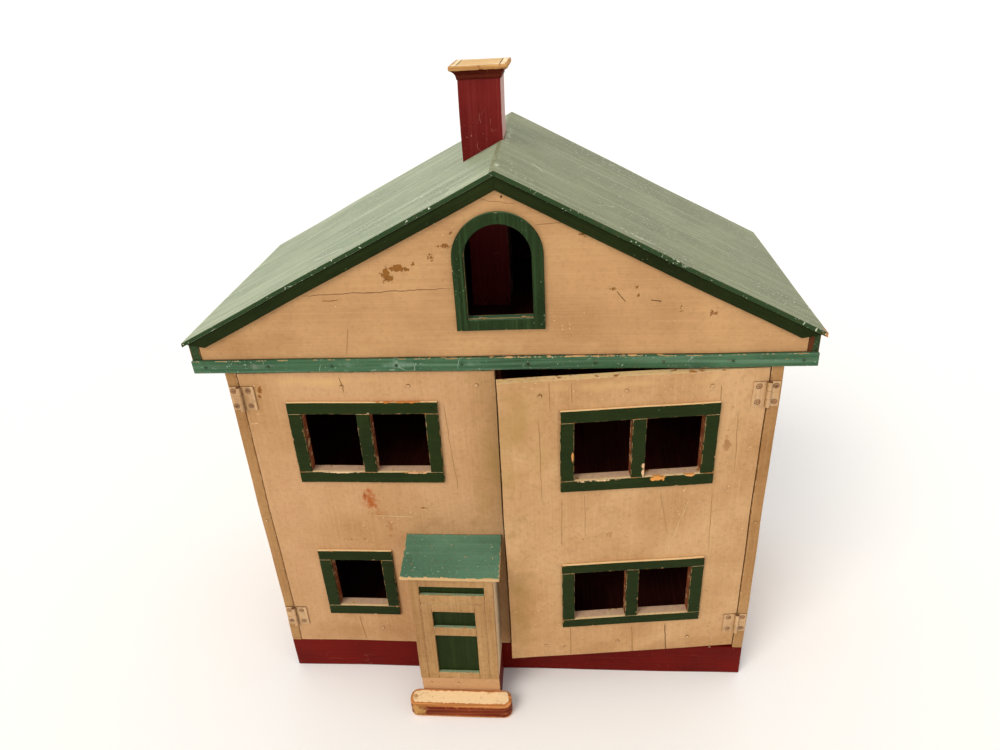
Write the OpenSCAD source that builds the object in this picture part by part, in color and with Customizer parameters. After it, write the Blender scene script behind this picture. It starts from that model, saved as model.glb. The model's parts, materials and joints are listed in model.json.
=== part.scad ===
// Wooden dollhouse: a two-storey carcass on a plinth, a gabled attic with a chimney, and a
// front made of two hinged doors. The porch, its base and its step ride on the left door.
// Millimetres. +Z is up, +Y runs from the front to the back, and the origin is on the ground
// at the middle of the whole object.

/* [Carcass] */
// Width of the house across its side walls
house_w = 600; // [560:5:800]
// Depth of the house from the front of the doors to the back face
house_d = 315; // [240:5:420]
// Height of the plinth below the doors
plinth_h = 48; // [30:1:80]
// Clear height of each room
room_h = 199; // [185:1:260]
// Thickness of the plinth's side and back boards
plinth_t = 12; // [8:0.5:18]
// How far the plinth's front board runs back under the walls and the floor
plinth_land = 1; // [0.5:0.5:10]
// Thickness of the side walls, and width of the posts in front of them
wall_t = 12.5; // [12:0.5:18]
// Thickness of the back wall
back_t = 8; // [4:0.5:15]
// Thickness of the ground floor and the middle floor
floor_t = 9; // [5:0.5:15]
// Thickness of the partitions between the rooms
partition_t = 9; // [5:0.5:15]

/* [Attic and roof] */
// Thickness of the attic floor, and height of the band across its front edge
attic_floor_t = 15; // [8:0.5:25]
// How far the attic floor runs out past each side wall
attic_reach = 20.5; // [10:0.5:30]
// Thickness of the upright boards that close the eaves
eave_board_t = 11.5; // [6:0.5:15]
// Thickness of the two gable boards
gable_t = 9; // [5:0.5:15]
// Height of the ridge above the attic floor
ridge_h = 195; // [140:1:240]
// Height of the roof's lower edges above the attic floor
eave_h = 23; // [18:1:30]
// How far right of the middle the ridge and the arched window stand
ridge_shift = 9; // [0:0.5:20]
// Thickness of the roof panels
roof_t = 4.5; // [3:0.5:9]
// Clearance between the roof panels and what they rest on
roof_seat = 0.02; // [0.01:0.01:0.2]
// How far each roof panel runs past the eave board
roof_side_over = 4.5; // [2:0.5:12]
// How far the roof runs out in front of the gable
roof_front_over = 6; // [5:0.5:20]
// How far the roof runs out behind the back wall
roof_back_over = 4; // [0:0.5:20]
// Thickness of the trim strips and frames on the gable
trim_t = 4; // [2:0.5:5]
// Width of the strips under the roof edge
barge_w = 12.5; // [6:0.5:20]
// How far the lower end of each of those strips is cut back under its tip
barge_cut = 20; // [4:1:40]

/* [Arched window] */
// Width of the arched opening
arch_w = 67.5; // [40:0.5:80]
// Height of the opening's straight sides
arch_side_h = 66; // [30:1:80]
// Height of the opening's sill above the attic floor
arch_sill = 43.5; // [20:0.5:60]
// Width of the arched frame's members
arch_member = 12; // [6:0.5:16]

/* [Chimney] */
// Width of the chimney from left to right
chimney_w = 46; // [30:1:60]
// Depth of the chimney from front to back
chimney_d = 52; // [30:1:60]
// Height of the chimney's top above the ridge
chimney_rise = 77; // [40:1:120]
// Distance from the front of the house to the chimney's front
chimney_back = 136; // [60:1:180]
// How far the chimney's right side stands past the ridge line
chimney_past_ridge = 1; // [0:0.5:5]
// Gap round the chimney where it passes through the roof
chimney_gap = 0.5; // [0.2:0.1:1.5]
// How far the moulding round the chimney's top stands out
cap_out = 8; // [4:0.5:12]
// Height of that moulding
cap_h = 14; // [10:0.5:20]
// Thickness of the moulding at its lower edge
cap_foot = 0.8; // [0.5:0.1:2]
// Height of the moulding's square lip above its cove
cap_lip = 4; // [2:0.5:8]

/* [Doors] */
// Thickness of the two door panels
door_t = 10.5; // [9:0.5:15]
// Gap between each door and its post
door_side_gap = 1; // [0.6:0.1:2]
// Gap between the two doors where they meet
meeting_gap = 3; // [1.5:0.1:6]
// Gap between the doors and the band above them
door_top_gap = 2.5; // [1:0.1:5]
// Gap between the left door and the plinth
door_bottom_gap = 0.8; // [0.5:0.1:3]
// How much shorter the right door is at its lower edge
right_door_short = 5; // [0:0.5:10]
// Gap between the closed doors and the floors behind them
door_back_gap = 0.5; // [0.3:0.1:2]
// How far open the right door stands at rest, in degrees
ajar = 6; // [0:0.5:20]
// Width of the battens inside the doors
batten_w = 15; // [8:0.5:25]
// Thickness of the battens
batten_t = 8; // [5:0.5:15]
// Distance from the battens to the floor below them and to the top of the door
batten_inset = 10; // [3:0.5:20]
// Distance from the battens' ends to the sides of the door
batten_end = 16; // [14:0.5:40]

/* [Windows] */
// Distance from the hinge line to each window frame
window_inset = 49.5; // [30:0.5:60]
// Width of the frames with two lights
double_w = 171; // [120:1:190]
// Width of the frame with one light
single_w = 94; // [60:1:100]
// Thickness of the window frames
frame_t = 3.5; // [2:0.5:6]
// Width of the frames' members
sash_w = 15; // [8:0.5:20]
// Width of the rails of the lower right frame
low_rail_w = 13; // [8:0.5:20]
// Height of the upper left frame above the floor inside, and its own height
left_upper = [51, 109];
// Height of the lower left frame above the floor inside, and its own height
left_lower = [45, 108];
// Height of the upper right frame above the floor inside, and its own height
right_upper = [54, 106];
// Height of the lower right frame above the floor inside, and its own height
right_lower = [51, 102];

/* [Hinges] */
// Height of the hinges
hinge_h = 30; // [20:1:40]
// Height of the lower hinges' middle above the plinth
hinge_low = 47; // [30:1:80]
// Distance of the upper hinges' middle below the attic floor
hinge_high = 33.5; // [25:0.5:60]
// Reach of the hinge leaf on the post
post_leaf_w = 11.5; // [8:0.5:12]
// Reach of the hinge leaf on the door
door_leaf_w = 16.5; // [10:0.5:25]
// Thickness of the hinge leaves
leaf_t = 1.2; // [0.8:0.1:2]
// Radius of the hinge barrels
barrel_r = 2.8; // [2.2:0.1:4]
// Radius of the hinge pins
pin_r = 1.2; // [0.8:0.1:1.5]
// Running clearance of the pins in the door leaves
pin_gap = 0.05; // [0.02:0.01:0.1]
// Gap between neighbouring knuckles
knuckle_gap = 0.3; // [0.2:0.1:0.6]
// Radius of the screw heads
screw_head_r = 2.2; // [1.6:0.1:2.4]
// Radius of the screw shanks
screw_r = 1; // [0.8:0.1:1.3]
// Length of the screws
screw_l = 8; // [5:0.5:10]
// Distance from the upper or lower end of a hinge to its screws
screw_inset = 5.4; // [3.5:0.1:8]
// Width of the slots in the screw heads
slot_w = 0.6; // [0.3:0.1:0.8]
// Depth of those slots
slot_deep = 0.5; // [0.2:0.1:0.8]

/* [Porch] */
// Width of the porch
porch_w = 100; // [80:1:110]
// Depth of the porch
porch_d = 56; // [40:1:80]
// Height of the porch from its base to the back edge of its roof
porch_h = 190; // [180:1:220]
// Distance from the middle of the house to the porch
porch_off = 13; // [10:0.5:20]
// How far the porch boards reach down past the top of the plinth
porch_drop = 1.5; // [0.5:0.5:10]
// Thickness of the porch's side boards
porch_side_t = 6; // [3:0.5:10]
// Thickness of the strips on the porch's front
porch_strip_t = 4.5; // [3:0.5:8]
// Thickness of the panel behind the strips
porch_panel_t = 3; // [2:0.5:6]
// Width of the porch's outer stiles
casing_w = 11; // [6:0.5:15]
// Width of the stiles of the small door
leaf_stile_w = 13; // [8:0.5:18]
// Heights above the porch base: lower panel's foot and top, upper panel's foot and top
panel_marks = [11, 76, 90, 116];
// Heights above the porch base: small door's top, fanlight's foot and top
fanlight_marks = [129.5, 143.5, 156.5];
// Thickness of the porch roof
porch_roof_t = 4; // [3:0.5:8]
// Fall of the porch roof from back to front
porch_fall = 14; // [5:1:20]
// How far the porch roof runs past the porch's front
porch_roof_front = 6; // [2:0.5:15]
// How far the porch roof runs past the porch's sides
porch_roof_side = 8.5; // [2:0.5:9]
// How far the porch base is set back from the porch front
base_set_back = 2.5; // [1:0.5:8]
// Gap between the porch base and the plinth behind it
base_gap = 1; // [0.5:0.1:3]
// Gap that lets the base and the step pass over the ground
ground_gap = 1; // [0.5:0.1:3]
// Length of the step
step_w = 130; // [100:1:140]
// Depth of the step
step_d = 25; // [15:1:40]
// Height of the step's top above the ground
step_h = 24; // [15:1:40]
// Radius of the step's corners
step_r = 10; // [4:0.5:12]

/* [Nails] */
// Radius of the nail heads
nail_head_r = 1.3; // [0.8:0.1:2]
// How far the nail heads stand proud
nail_head_t = 0.5; // [0.3:0.1:1]
// Radius of the nail shanks
nail_r = 0.6; // [0.4:0.1:1]
// Number of nails along the band under the gable
band_nail_count = 10; // [4:1:16]
// Distance from the ends of that band to its first and last nail
band_nail_inset = 15; // [8:1:40]
// How far the band's nails run into the wood behind it
band_nail_bite = 12; // [6:1:16]
// How far the nails of the posts run into the walls
post_nail_bite = 9; // [4:1:11]
// How far short of the inner face the nails through boards stop
nail_short = 2; // [1:0.5:3]
// Distance of the arched frame's lower side nails below the start of the arch
arch_nail_drop = 43; // [20:1:60]
// Distance of the nails in the arched frame's sill from its middle
sill_nail_off = 20; // [8:1:30]
// Distances from the hinge line to the nails through the left door's battens
left_door_nail_places = [116, 190, 265];
// Distances from the hinge line to the nails through the right door's battens
right_door_nail_places = [60, 150, 241];
// Length of the nails in the porch
porch_nail_l = 14; // [8:1:16]
// Distances from the porch's left side to the nails in its base
base_nail_places = [12, 47];
// Number of nails along each side of the porch roof
porch_roof_nail_count = 2; // [1:1:4]

/* [Hidden] */
$fn = 32;

// Through-cuts run this far past the faces they open
past = 1;

// Levels
ground_z = plinth_h + floor_t;
middle_z = ground_z + room_h;
upper_z = middle_z + floor_t;
wall_top = upper_z + room_h;
attic_z = wall_top + attic_floor_t;
ridge_z = attic_z + ridge_h;
eave_z = attic_z + eave_h;

// Plan
half_w = house_w / 2;
inner_x = half_w - wall_t;
post_t = door_t + door_back_gap;
plinth_front_t = post_t + plinth_land;
seat = roof_t + roof_seat;
back_y = house_d - back_t;
gable_x = half_w + attic_reach;
eave_x = gable_x + eave_board_t;
tip_x = eave_x + roof_side_over;
step_front = -(porch_d - base_set_back + step_d);
front_y = -(house_d + roof_back_over + step_front) / 2;

// Roof slopes, and the roof surfaces at a depth below the top of the panels
left_pitch = atan2(ridge_z - eave_z, ridge_shift + tip_x);
right_pitch = atan2(ridge_z - eave_z, tip_x - ridge_shift);
function slope_z(x, depth) =
    x < ridge_shift
        ? ridge_z - (ridge_shift - x) * tan(left_pitch) - depth / cos(left_pitch)
        : ridge_z - (x - ridge_shift) * tan(right_pitch) - depth / cos(right_pitch);
function crest(depth) =
    [ridge_shift - depth * (cos(left_pitch) - cos(right_pitch)) / sin(left_pitch + right_pitch),
     ridge_z - depth * (sin(left_pitch) + sin(right_pitch)) / sin(left_pitch + right_pitch)];
lap = roof_t / sin(left_pitch + right_pitch);
lap_point = [ridge_shift - lap * cos(left_pitch), ridge_z - lap * sin(left_pitch)];

// Arched window
arch_r = arch_w / 2;
arch_z = attic_z + arch_sill + arch_side_h;

// Chimney
chimney_x = ridge_shift + chimney_past_ridge - chimney_w;
chimney_top = ridge_z + chimney_rise;
cove_r = cap_h - cap_lip;

// Doors, measured from the hinge line towards the meeting line
hinge_x = inner_x - door_side_gap / 2;
hinge_y = -barrel_r;
door_near = door_side_gap / 2;
door_far = hinge_x - meeting_gap / 2;
left_door_foot = plinth_h + door_bottom_gap;
right_door_foot = left_door_foot + right_door_short;
door_top = wall_top - door_top_gap;
hinge_levels = [plinth_h + hinge_low, wall_top - hinge_high];
knuckle_h = (hinge_h - 2 * knuckle_gap) / 3;
batten_feet = [ground_z + batten_inset, door_top - batten_inset - batten_w];

// Each window: distance from the hinge line, foot, width, height, lights, rail width
left_windows = [[window_inset, upper_z + left_upper[0], double_w, left_upper[1], 2, sash_w],
                [window_inset, ground_z + left_lower[0], single_w, left_lower[1], 1, sash_w]];
right_windows = [[window_inset, upper_z + right_upper[0], double_w, right_upper[1], 2, sash_w],
                 [window_inset, ground_z + right_lower[0], double_w, right_lower[1], 2,
                  low_rail_w]];
function light_w(window) = (window[2] - (window[4] + 1) * sash_w) / window[4];

// Porch
porch_x1 = -porch_off;
porch_x0 = porch_x1 - porch_w;
porch_z = plinth_h - porch_drop;
porch_top = porch_z + porch_h;
porch_face = -porch_d;
strip_back = porch_face + porch_strip_t;
porch_roof_d = porch_d + porch_roof_front;
function porch_under(y) = porch_top - porch_roof_t + y * porch_fall / porch_roof_d;
strip_top = porch_under(porch_face);
leaf_x0 = porch_x0 + casing_w;
leaf_x1 = porch_x1 - casing_w;
base_face = porch_face + base_set_back;

// Colours of the paints and woods
cream = "#d9b98f";
dark_green = "#1f3b26";
band_green = "#3c6b52";
roof_green = "#8d9a7c";
porch_green = "#4f7d68";
maroon = "#7a1d20";
inside_brown = "#4a2018";
bare_wood = "#c9985a";
steel = "#b9a58a";

// ---- helpers ----------------------------------------------------------------------------

// Puts what is drawn from the front face of the doors into the object's own frame.
module from_front() {
    translate([0, front_y, 0]) children();
}

// A board between two opposite corners.
module board(low, high) {
    translate(low) cube(high - low);
}

// An outline in X and Z, made into a board between two depths.
module upright(y0, y1) {
    translate([0, y1, 0]) rotate([90, 0, 0]) linear_extrude(y1 - y0) children();
}

// An outline in Y and Z, made into a board between two places along X.
module sideways(x0, x1) {
    translate([x0, 0, 0]) rotate([90, 0, 90]) linear_extrude(x1 - x0) children();
}

// Places a left door, drawn from its hinge line towards the meeting line.
module on_left_door() {
    from_front() translate([-hinge_x, 0, 0]) children();
}

// Places a right door, which stands ajar.
module on_right_door() {
    from_front()
        translate([hinge_x, hinge_y, 0])
            rotate([0, 0, ajar])
                translate([0, -hinge_y, 0])
                    mirror([1, 0, 0]) children();
}

// Places hardware on both posts, drawn from the hinge line.
module on_both_posts() {
    on_left_door() children();
    from_front() translate([hinge_x, 0, 0]) mirror([1, 0, 0]) children();
}

// A nail driven in along +Y from a face at its head.
module nail(length) {
    rotate([-90, 0, 0]) {
        cylinder(h = length, r = nail_r);
        translate([0, 0, -nail_head_t]) cylinder(h = nail_head_t, r = nail_head_r);
    }
}

// A countersunk screw driven in along +Y, its head flush with the top of a hinge leaf.
module screw() {
    rotate([-90, 0, 0]) difference() {
        union() {
            translate([0, 0, -leaf_t]) cylinder(h = leaf_t, r1 = screw_head_r, r2 = screw_r);
            cylinder(h = screw_l, r = screw_r);
        }
        translate([-screw_head_r, -slot_w / 2, -leaf_t - past])
            cube([2 * screw_head_r, slot_w, past + slot_deep]);
    }
}

// Where the two screws of a leaf stand, for a leaf that reaches this far.
function screw_places(reach) =
    [for (level = hinge_levels) for (side = [-1, 1])
        [reach, level + side * (hinge_h / 2 - screw_inset)]];
post_screw_places = screw_places(-(barrel_r + post_leaf_w) / 2);
door_screw_places = screw_places((barrel_r + door_leaf_w) / 2);

// A knuckle of a hinge barrel. The barrel is cut in three, and slot 1 is the middle one.
module knuckle(slot, r, extra) {
    translate([0, hinge_y, -hinge_h / 2 + slot * (knuckle_h + knuckle_gap) - extra])
        cylinder(h = knuckle_h + 2 * extra, r = r);
}

// A pair of hinge leaves. reach is negative for the post, and slots are the leaf's knuckles.
module leaves(reach, slots, other_slots, bore_r, places) {
    difference() {
        for (level = hinge_levels) translate([0, 0, level]) difference() {
            union() {
                board([min(reach, 0), -leaf_t, -hinge_h / 2], [max(reach, 0), 0, hinge_h / 2]);
                for (slot = slots) knuckle(slot, barrel_r, 0);
            }
            for (slot = other_slots) knuckle(slot, barrel_r + knuckle_gap, knuckle_gap);
            translate([0, hinge_y, -hinge_h / 2 - past])
                cylinder(h = hinge_h + 2 * past, r = bore_r);
        }
        for (place = places) translate([place[0], 0, place[1]]) rotate([-90, 0, 0]) {
            translate([0, 0, -leaf_t]) cylinder(h = leaf_t, r1 = screw_head_r, r2 = screw_r);
            translate([0, 0, -leaf_t - past]) cylinder(h = past, r = screw_head_r);
            cylinder(h = past, r = screw_r);
        }
    }
}

// The through-opening of every light in a window.
module lights(window) {
    for (i = [0:window[4] - 1])
        board([window[0] + sash_w + i * (light_w(window) + sash_w), -past - frame_t,
               window[1] + window[5]],
              [window[0] + (i + 1) * (light_w(window) + sash_w), door_t + past,
               window[1] + window[3] - window[5]]);
}

module door_panel(foot, windows) {
    difference() {
        board([door_near, 0, foot], [door_far, door_t, door_top]);
        for (window = windows) lights(window);
    }
}

// Two battens inside a door, above the ground floor and below the attic floor.
module battens() {
    for (z = batten_feet)
        board([door_near + batten_end, door_t, z],
              [door_far - batten_end, door_t + batten_t, z + batten_w]);
}

module window_rails(window) {
    for (z = [window[1], window[1] + window[3] - window[5]])
        board([window[0], -frame_t, z], [window[0] + window[2], 0, z + window[5]]);
}

module window_stiles(window) {
    for (i = [0:window[4]])
        board([window[0] + i * (light_w(window) + sash_w), -frame_t, window[1] + window[5]],
              [window[0] + i * (light_w(window) + sash_w) + sash_w, 0,
               window[1] + window[3] - window[5]]);
}

// Nails through the battens, and one near each corner of the window frames.
module door_nails(windows, places) {
    for (x = places)
        for (z = batten_feet)
            translate([x, 0, z + batten_w / 2]) nail(door_t + batten_t - nail_short);
    for (window = windows)
        for (x = [sash_w / 2, window[2] - sash_w / 2])
            for (z = [window[5] / 2, window[3] - window[5] / 2])
                translate([window[0] + x, -frame_t, window[1] + z])
                    nail(frame_t + door_t - nail_short);
}

// ---- carcass ----------------------------------------------------------------------------

module plinth_front() {
    color(maroon) from_front() board([-half_w, 0, 0], [half_w, plinth_front_t, plinth_h]);
}

module plinth_back() {
    color(maroon) from_front()
        board([-half_w, house_d - plinth_t, 0], [half_w, house_d, plinth_h]);
}

module plinth_side(x) {
    color(maroon) from_front()
        board([x, plinth_front_t, 0], [x + plinth_t, house_d - plinth_t, plinth_h]);
}

module plinth_left() {
    plinth_side(-half_w);
}

module plinth_right() {
    plinth_side(half_w - plinth_t);
}

module ground_floor() {
    color(inside_brown) from_front()
        board([-inner_x, post_t, plinth_h], [inner_x, back_y, ground_z]);
}

module middle_floor() {
    color(inside_brown) from_front()
        board([-inner_x, post_t, middle_z], [inner_x, back_y, upper_z]);
}

module attic_floor() {
    color(inside_brown) from_front() board([-gable_x, 0, wall_top], [gable_x, house_d, attic_z]);
}

module side_wall(x) {
    color(cream) from_front() board([x, post_t, plinth_h], [x + wall_t, back_y, wall_top]);
}

module left_wall() {
    side_wall(-half_w);
}

module right_wall() {
    side_wall(inner_x);
}

module back_wall() {
    color(cream) from_front()
        board([-half_w, back_y, plinth_h], [half_w, house_d, wall_top]);
}

module partition(z0, z1) {
    color(inside_brown) from_front()
        board([-partition_t / 2, post_t, z0], [partition_t / 2, back_y, z1]);
}

module lower_partition() {
    partition(ground_z, middle_z);
}

module upper_partition() {
    partition(upper_z, wall_top);
}

module post(x) {
    color(cream) from_front() board([x, 0, plinth_h], [x + wall_t, post_t, wall_top]);
}

module left_post() {
    post(-half_w);
}

module right_post() {
    post(inner_x);
}

// ---- attic and roof ---------------------------------------------------------------------

// Outline of a gable, up to the underside of the roof panels.
module gable_outline() {
    polygon([[-gable_x, attic_z], [gable_x, attic_z], [gable_x, slope_z(gable_x, seat)],
             crest(seat), [-gable_x, slope_z(-gable_x, seat)]]);
}

// Outline of an arch over straight sides, grown by a margin all round.
module arch_outline(margin) {
    translate([ridge_shift, arch_z]) intersection() {
        union() {
            circle(r = arch_r + margin);
            translate([-arch_r - margin, -arch_side_h - margin])
                square([2 * (arch_r + margin), arch_side_h + margin]);
        }
        translate([-arch_r - margin, -arch_side_h - margin])
            square([2 * (arch_r + margin), arch_side_h + 2 * margin + arch_r]);
    }
}

module front_gable() {
    color(cream) from_front() upright(0, gable_t) difference() {
        gable_outline();
        arch_outline(0, $fn = 64);
    }
}

module back_gable() {
    color(cream) from_front() upright(house_d - gable_t, house_d) gable_outline();
}

module gable_band() {
    color(band_green) from_front() board([-eave_x, -trim_t, wall_top], [eave_x, 0, attic_z]);
}

// A board that closes the eaves, its top bevelled to the slope of the roof.
module eave_board(x0, x1) {
    color(band_green) from_front() upright(0, house_d)
        polygon([[x0, wall_top], [x1, wall_top], [x1, slope_z(x1, seat)],
                 [x0, slope_z(x0, seat)]]);
}

module left_eave_board() {
    eave_board(-eave_x, -gable_x);
}

module right_eave_board() {
    eave_board(gable_x, eave_x);
}

// Everything that the chimney needs clear where it passes through the roof.
module chimney_hole() {
    board([chimney_x - chimney_gap, chimney_back - chimney_gap, attic_z],
          [chimney_x + chimney_w + chimney_gap, chimney_back + chimney_d + chimney_gap,
           chimney_top]);
}

// The left panel butts under the right one, whose end is planed flush with the left slope.
module left_roof_panel() {
    color(roof_green) from_front() difference() {
        upright(-roof_front_over, house_d + roof_back_over)
            polygon([[-tip_x, eave_z], [-tip_x, slope_z(-tip_x, roof_t)], crest(roof_t),
                     lap_point]);
        chimney_hole();
    }
}

module right_roof_panel() {
    color(roof_green) from_front() difference() {
        upright(-roof_front_over, house_d + roof_back_over)
            polygon([[tip_x, eave_z], [ridge_shift, ridge_z], lap_point, crest(roof_t),
                     [tip_x, slope_z(tip_x, roof_t)]]);
        chimney_hole();
    }
}

// A strip on the gable under the roof edge. The two strips meet in a mitre below the ridge, and
// the lower end of each is sawn off towards its tip.
module barge_strip(end_x) {
    cut_x = end_x - sign(end_x) * barge_cut;
    color(dark_green) from_front() upright(-trim_t, 0)
        polygon([crest(seat), crest(roof_t + barge_w), [cut_x, slope_z(cut_x, roof_t + barge_w)],
                 [end_x, slope_z(end_x, seat)]]);
}

module left_barge_strip() {
    barge_strip(-eave_x);
}

module right_barge_strip() {
    barge_strip(eave_x);
}

module arch_frame() {
    color(dark_green) from_front() upright(-trim_t, 0) difference() {
        arch_outline(arch_member, $fn = 64);
        arch_outline(0, $fn = 64);
    }
}

// ---- chimney ----------------------------------------------------------------------------

module chimney_shaft() {
    color(maroon) from_front()
        board([chimney_x, chimney_back, attic_z],
              [chimney_x + chimney_w, chimney_back + chimney_d, chimney_top]);
}

// The cove moulding round the chimney's top, before it is cut into four strips.
module cap_ring() {
    foot_z = chimney_top - cap_h;
    middle_x = chimney_x + chimney_w / 2;
    middle_y = chimney_back + chimney_d / 2;
    difference() {
        board([chimney_x - cap_out, chimney_back - cap_out, foot_z],
              [chimney_x + chimney_w + cap_out, chimney_back + chimney_d + cap_out, chimney_top]);
        board([chimney_x, chimney_back, foot_z - past],
              [chimney_x + chimney_w, chimney_back + chimney_d, chimney_top + past]);
        for (side = [-1, 1]) {
            translate([middle_x + side * (chimney_w / 2 + cap_foot + cove_r),
                       middle_y - chimney_d, foot_z])
                rotate([-90, 0, 0]) cylinder(h = 2 * chimney_d, r = cove_r, $fn = 64);
            translate([middle_x - chimney_w,
                       middle_y + side * (chimney_d / 2 + cap_foot + cove_r), foot_z])
                rotate([0, 90, 0]) cylinder(h = 2 * chimney_w, r = cove_r, $fn = 64);
        }
    }
}

// The stretch of the moulding that stands in front of and behind the shaft.
module cap_middle() {
    board([chimney_x, chimney_back - chimney_d, chimney_top - 2 * cap_h],
          [chimney_x + chimney_w, chimney_back + 2 * chimney_d, chimney_top + past]);
}

module cap_side_moulding() {
    color(maroon) from_front() difference() {
        cap_ring();
        cap_middle();
    }
}

module cap_end_moulding() {
    color(maroon) from_front() intersection() {
        cap_ring();
        cap_middle();
    }
}

// ---- hinges and fasteners of the carcass ------------------------------------------------

module post_hinge_leaves() {
    color(steel) on_both_posts()
        leaves(-post_leaf_w, [0, 2], [1], pin_r, post_screw_places);
}

module hinge_pins() {
    color(steel) on_both_posts() for (level = hinge_levels)
        translate([0, hinge_y, level - hinge_h / 2]) cylinder(h = hinge_h, r = pin_r);
}

module post_screws() {
    color(steel) on_both_posts() for (place = post_screw_places)
        translate([place[0], 0, place[1]]) screw();
}

// Nails of the band, the posts and the arched frame.
module carcass_nails() {
    spacing = 2 * (eave_x - band_nail_inset) / (band_nail_count - 1);
    frame_x = arch_r + arch_member / 2;
    color(steel) from_front() {
        for (i = [0:band_nail_count - 1])
            translate([-eave_x + band_nail_inset + i * spacing, -trim_t,
                       wall_top + attic_floor_t / 2])
                nail(trim_t + band_nail_bite);
        for (side = [-1, 1])
            translate([side * (half_w - wall_t / 2), 0, (plinth_h + wall_top) / 2])
                nail(post_t + post_nail_bite);
        for (angle = [0, 90, 180])
            translate([ridge_shift + frame_x * cos(angle), -trim_t,
                       arch_z + frame_x * sin(angle)])
                nail(trim_t + gable_t - nail_short);
        for (side = [-1, 1])
            for (place = [[frame_x, arch_nail_drop],
                          [sill_nail_off, arch_side_h + arch_member / 2]])
                translate([ridge_shift + side * place[0], -trim_t, arch_z - place[1]])
                    nail(trim_t + gable_t - nail_short);
    }
}

// ---- left door --------------------------------------------------------------------------

module left_door_panel() {
    color(cream) on_left_door() door_panel(left_door_foot, left_windows);
}

module left_door_battens() {
    color(bare_wood) on_left_door() battens();
}

module left_upper_rails() {
    color(dark_green) on_left_door() window_rails(left_windows[0]);
}

module left_upper_stiles() {
    color(dark_green) on_left_door() window_stiles(left_windows[0]);
}

module left_lower_rails() {
    color(dark_green) on_left_door() window_rails(left_windows[1]);
}

module left_lower_stiles() {
    color(dark_green) on_left_door() window_stiles(left_windows[1]);
}

module left_door_leaves() {
    color(steel) on_left_door()
        leaves(door_leaf_w, [1], [0, 2], pin_r + pin_gap, door_screw_places);
}

module left_door_screws() {
    color(steel) on_left_door() for (place = door_screw_places)
        translate([place[0], 0, place[1]]) screw();
}

module left_door_nails() {
    color(steel) on_left_door() door_nails(left_windows, left_door_nail_places);
}

// ---- porch ------------------------------------------------------------------------------

// A side board of the porch, its top cut to the slope of the porch roof.
module porch_side(x) {
    color(cream) from_front() sideways(x, x + porch_side_t)
        polygon([[strip_back, porch_z], [0, porch_z], [0, porch_under(0)],
                 [strip_back, porch_under(strip_back)]]);
}

module porch_left_side() {
    porch_side(porch_x0);
}

module porch_right_side() {
    porch_side(porch_x1 - porch_side_t);
}

module porch_panel() {
    color(dark_green) from_front()
        board([porch_x0 + porch_side_t, strip_back, porch_z],
              [porch_x1 - porch_side_t, strip_back + porch_panel_t, porch_under(strip_back)]);
}

// A strip on the porch's front, between two places along X and two heights above its foot.
module strip(x0, x1, z0, z1) {
    board([x0, porch_face, porch_z + z0], [x1, strip_back, porch_z + z1]);
}

module porch_stiles() {
    color(cream) from_front() {
        strip(porch_x0, leaf_x0, 0, strip_top - porch_z);
        strip(leaf_x1, porch_x1, 0, strip_top - porch_z);
    }
}

module porch_rails() {
    color(cream) from_front() {
        strip(leaf_x0, leaf_x1, fanlight_marks[0], fanlight_marks[1]);
        strip(leaf_x0, leaf_x1, fanlight_marks[2], strip_top - porch_z);
    }
}

module porch_leaf_stiles() {
    color(cream) from_front() {
        strip(leaf_x0, leaf_x0 + leaf_stile_w, 0, fanlight_marks[0]);
        strip(leaf_x1 - leaf_stile_w, leaf_x1, 0, fanlight_marks[0]);
    }
}

module porch_leaf_rails() {
    color(cream) from_front()
        for (marks = [[0, panel_marks[0]], [panel_marks[1], panel_marks[2]],
                      [panel_marks[3], fanlight_marks[0]]])
            strip(leaf_x0 + leaf_stile_w, leaf_x1 - leaf_stile_w, marks[0], marks[1]);
}

module porch_roof() {
    color(porch_green) from_front() sideways(porch_x0 - porch_roof_side, porch_x1 + porch_roof_side)
        polygon([[0, porch_top], [-porch_roof_d, porch_top - porch_fall],
                 [-porch_roof_d, porch_under(-porch_roof_d)], [0, porch_under(0)]]);
}

module porch_base() {
    color(maroon) from_front()
        board([porch_x0, base_face, ground_gap], [porch_x1, -base_gap, porch_z]);
}

// The step, a thick slab with rounded corners against the front of the base.
module porch_step() {
    middle_x = (porch_x0 + porch_x1) / 2;
    x0 = middle_x - step_w / 2;
    x1 = middle_x + step_w / 2;
    color(bare_wood) from_front() {
        board([x0 + step_r, step_front, ground_gap], [x1 - step_r, base_face, step_h]);
        board([x0, step_front + step_r, ground_gap], [x1, base_face - step_r, step_h]);
        for (x = [x0 + step_r, x1 - step_r])
            for (y = [step_front + step_r, base_face - step_r])
                translate([x, y, ground_gap]) cylinder(h = step_h - ground_gap, r = step_r);
    }
}

// Nails of the porch base and of the porch roof.
module porch_nails() {
    roof_x0 = porch_x0 + porch_side_t / 2;
    roof_x1 = porch_x1 - porch_side_t / 2;
    color(steel) from_front() {
        for (x = base_nail_places)
            translate([porch_x0 + x, base_face, step_h + (porch_z - step_h) / 2])
                nail(porch_nail_l);
        for (x = [roof_x0, roof_x1])
            for (i = [0:porch_roof_nail_count - 1]) {
                y = -porch_d * (i + 0.5) / porch_roof_nail_count;
                translate([x, y, porch_top + y * porch_fall / porch_roof_d])
                    rotate([atan(porch_fall / porch_roof_d) - 90, 0, 0]) nail(porch_nail_l);
            }
    }
}

// ---- right door -------------------------------------------------------------------------

module right_door_panel() {
    color(cream) on_right_door() door_panel(right_door_foot, right_windows);
}

module right_door_battens() {
    color(bare_wood) on_right_door() battens();
}

module right_upper_rails() {
    color(dark_green) on_right_door() window_rails(right_windows[0]);
}

module right_upper_stiles() {
    color(dark_green) on_right_door() window_stiles(right_windows[0]);
}

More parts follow.
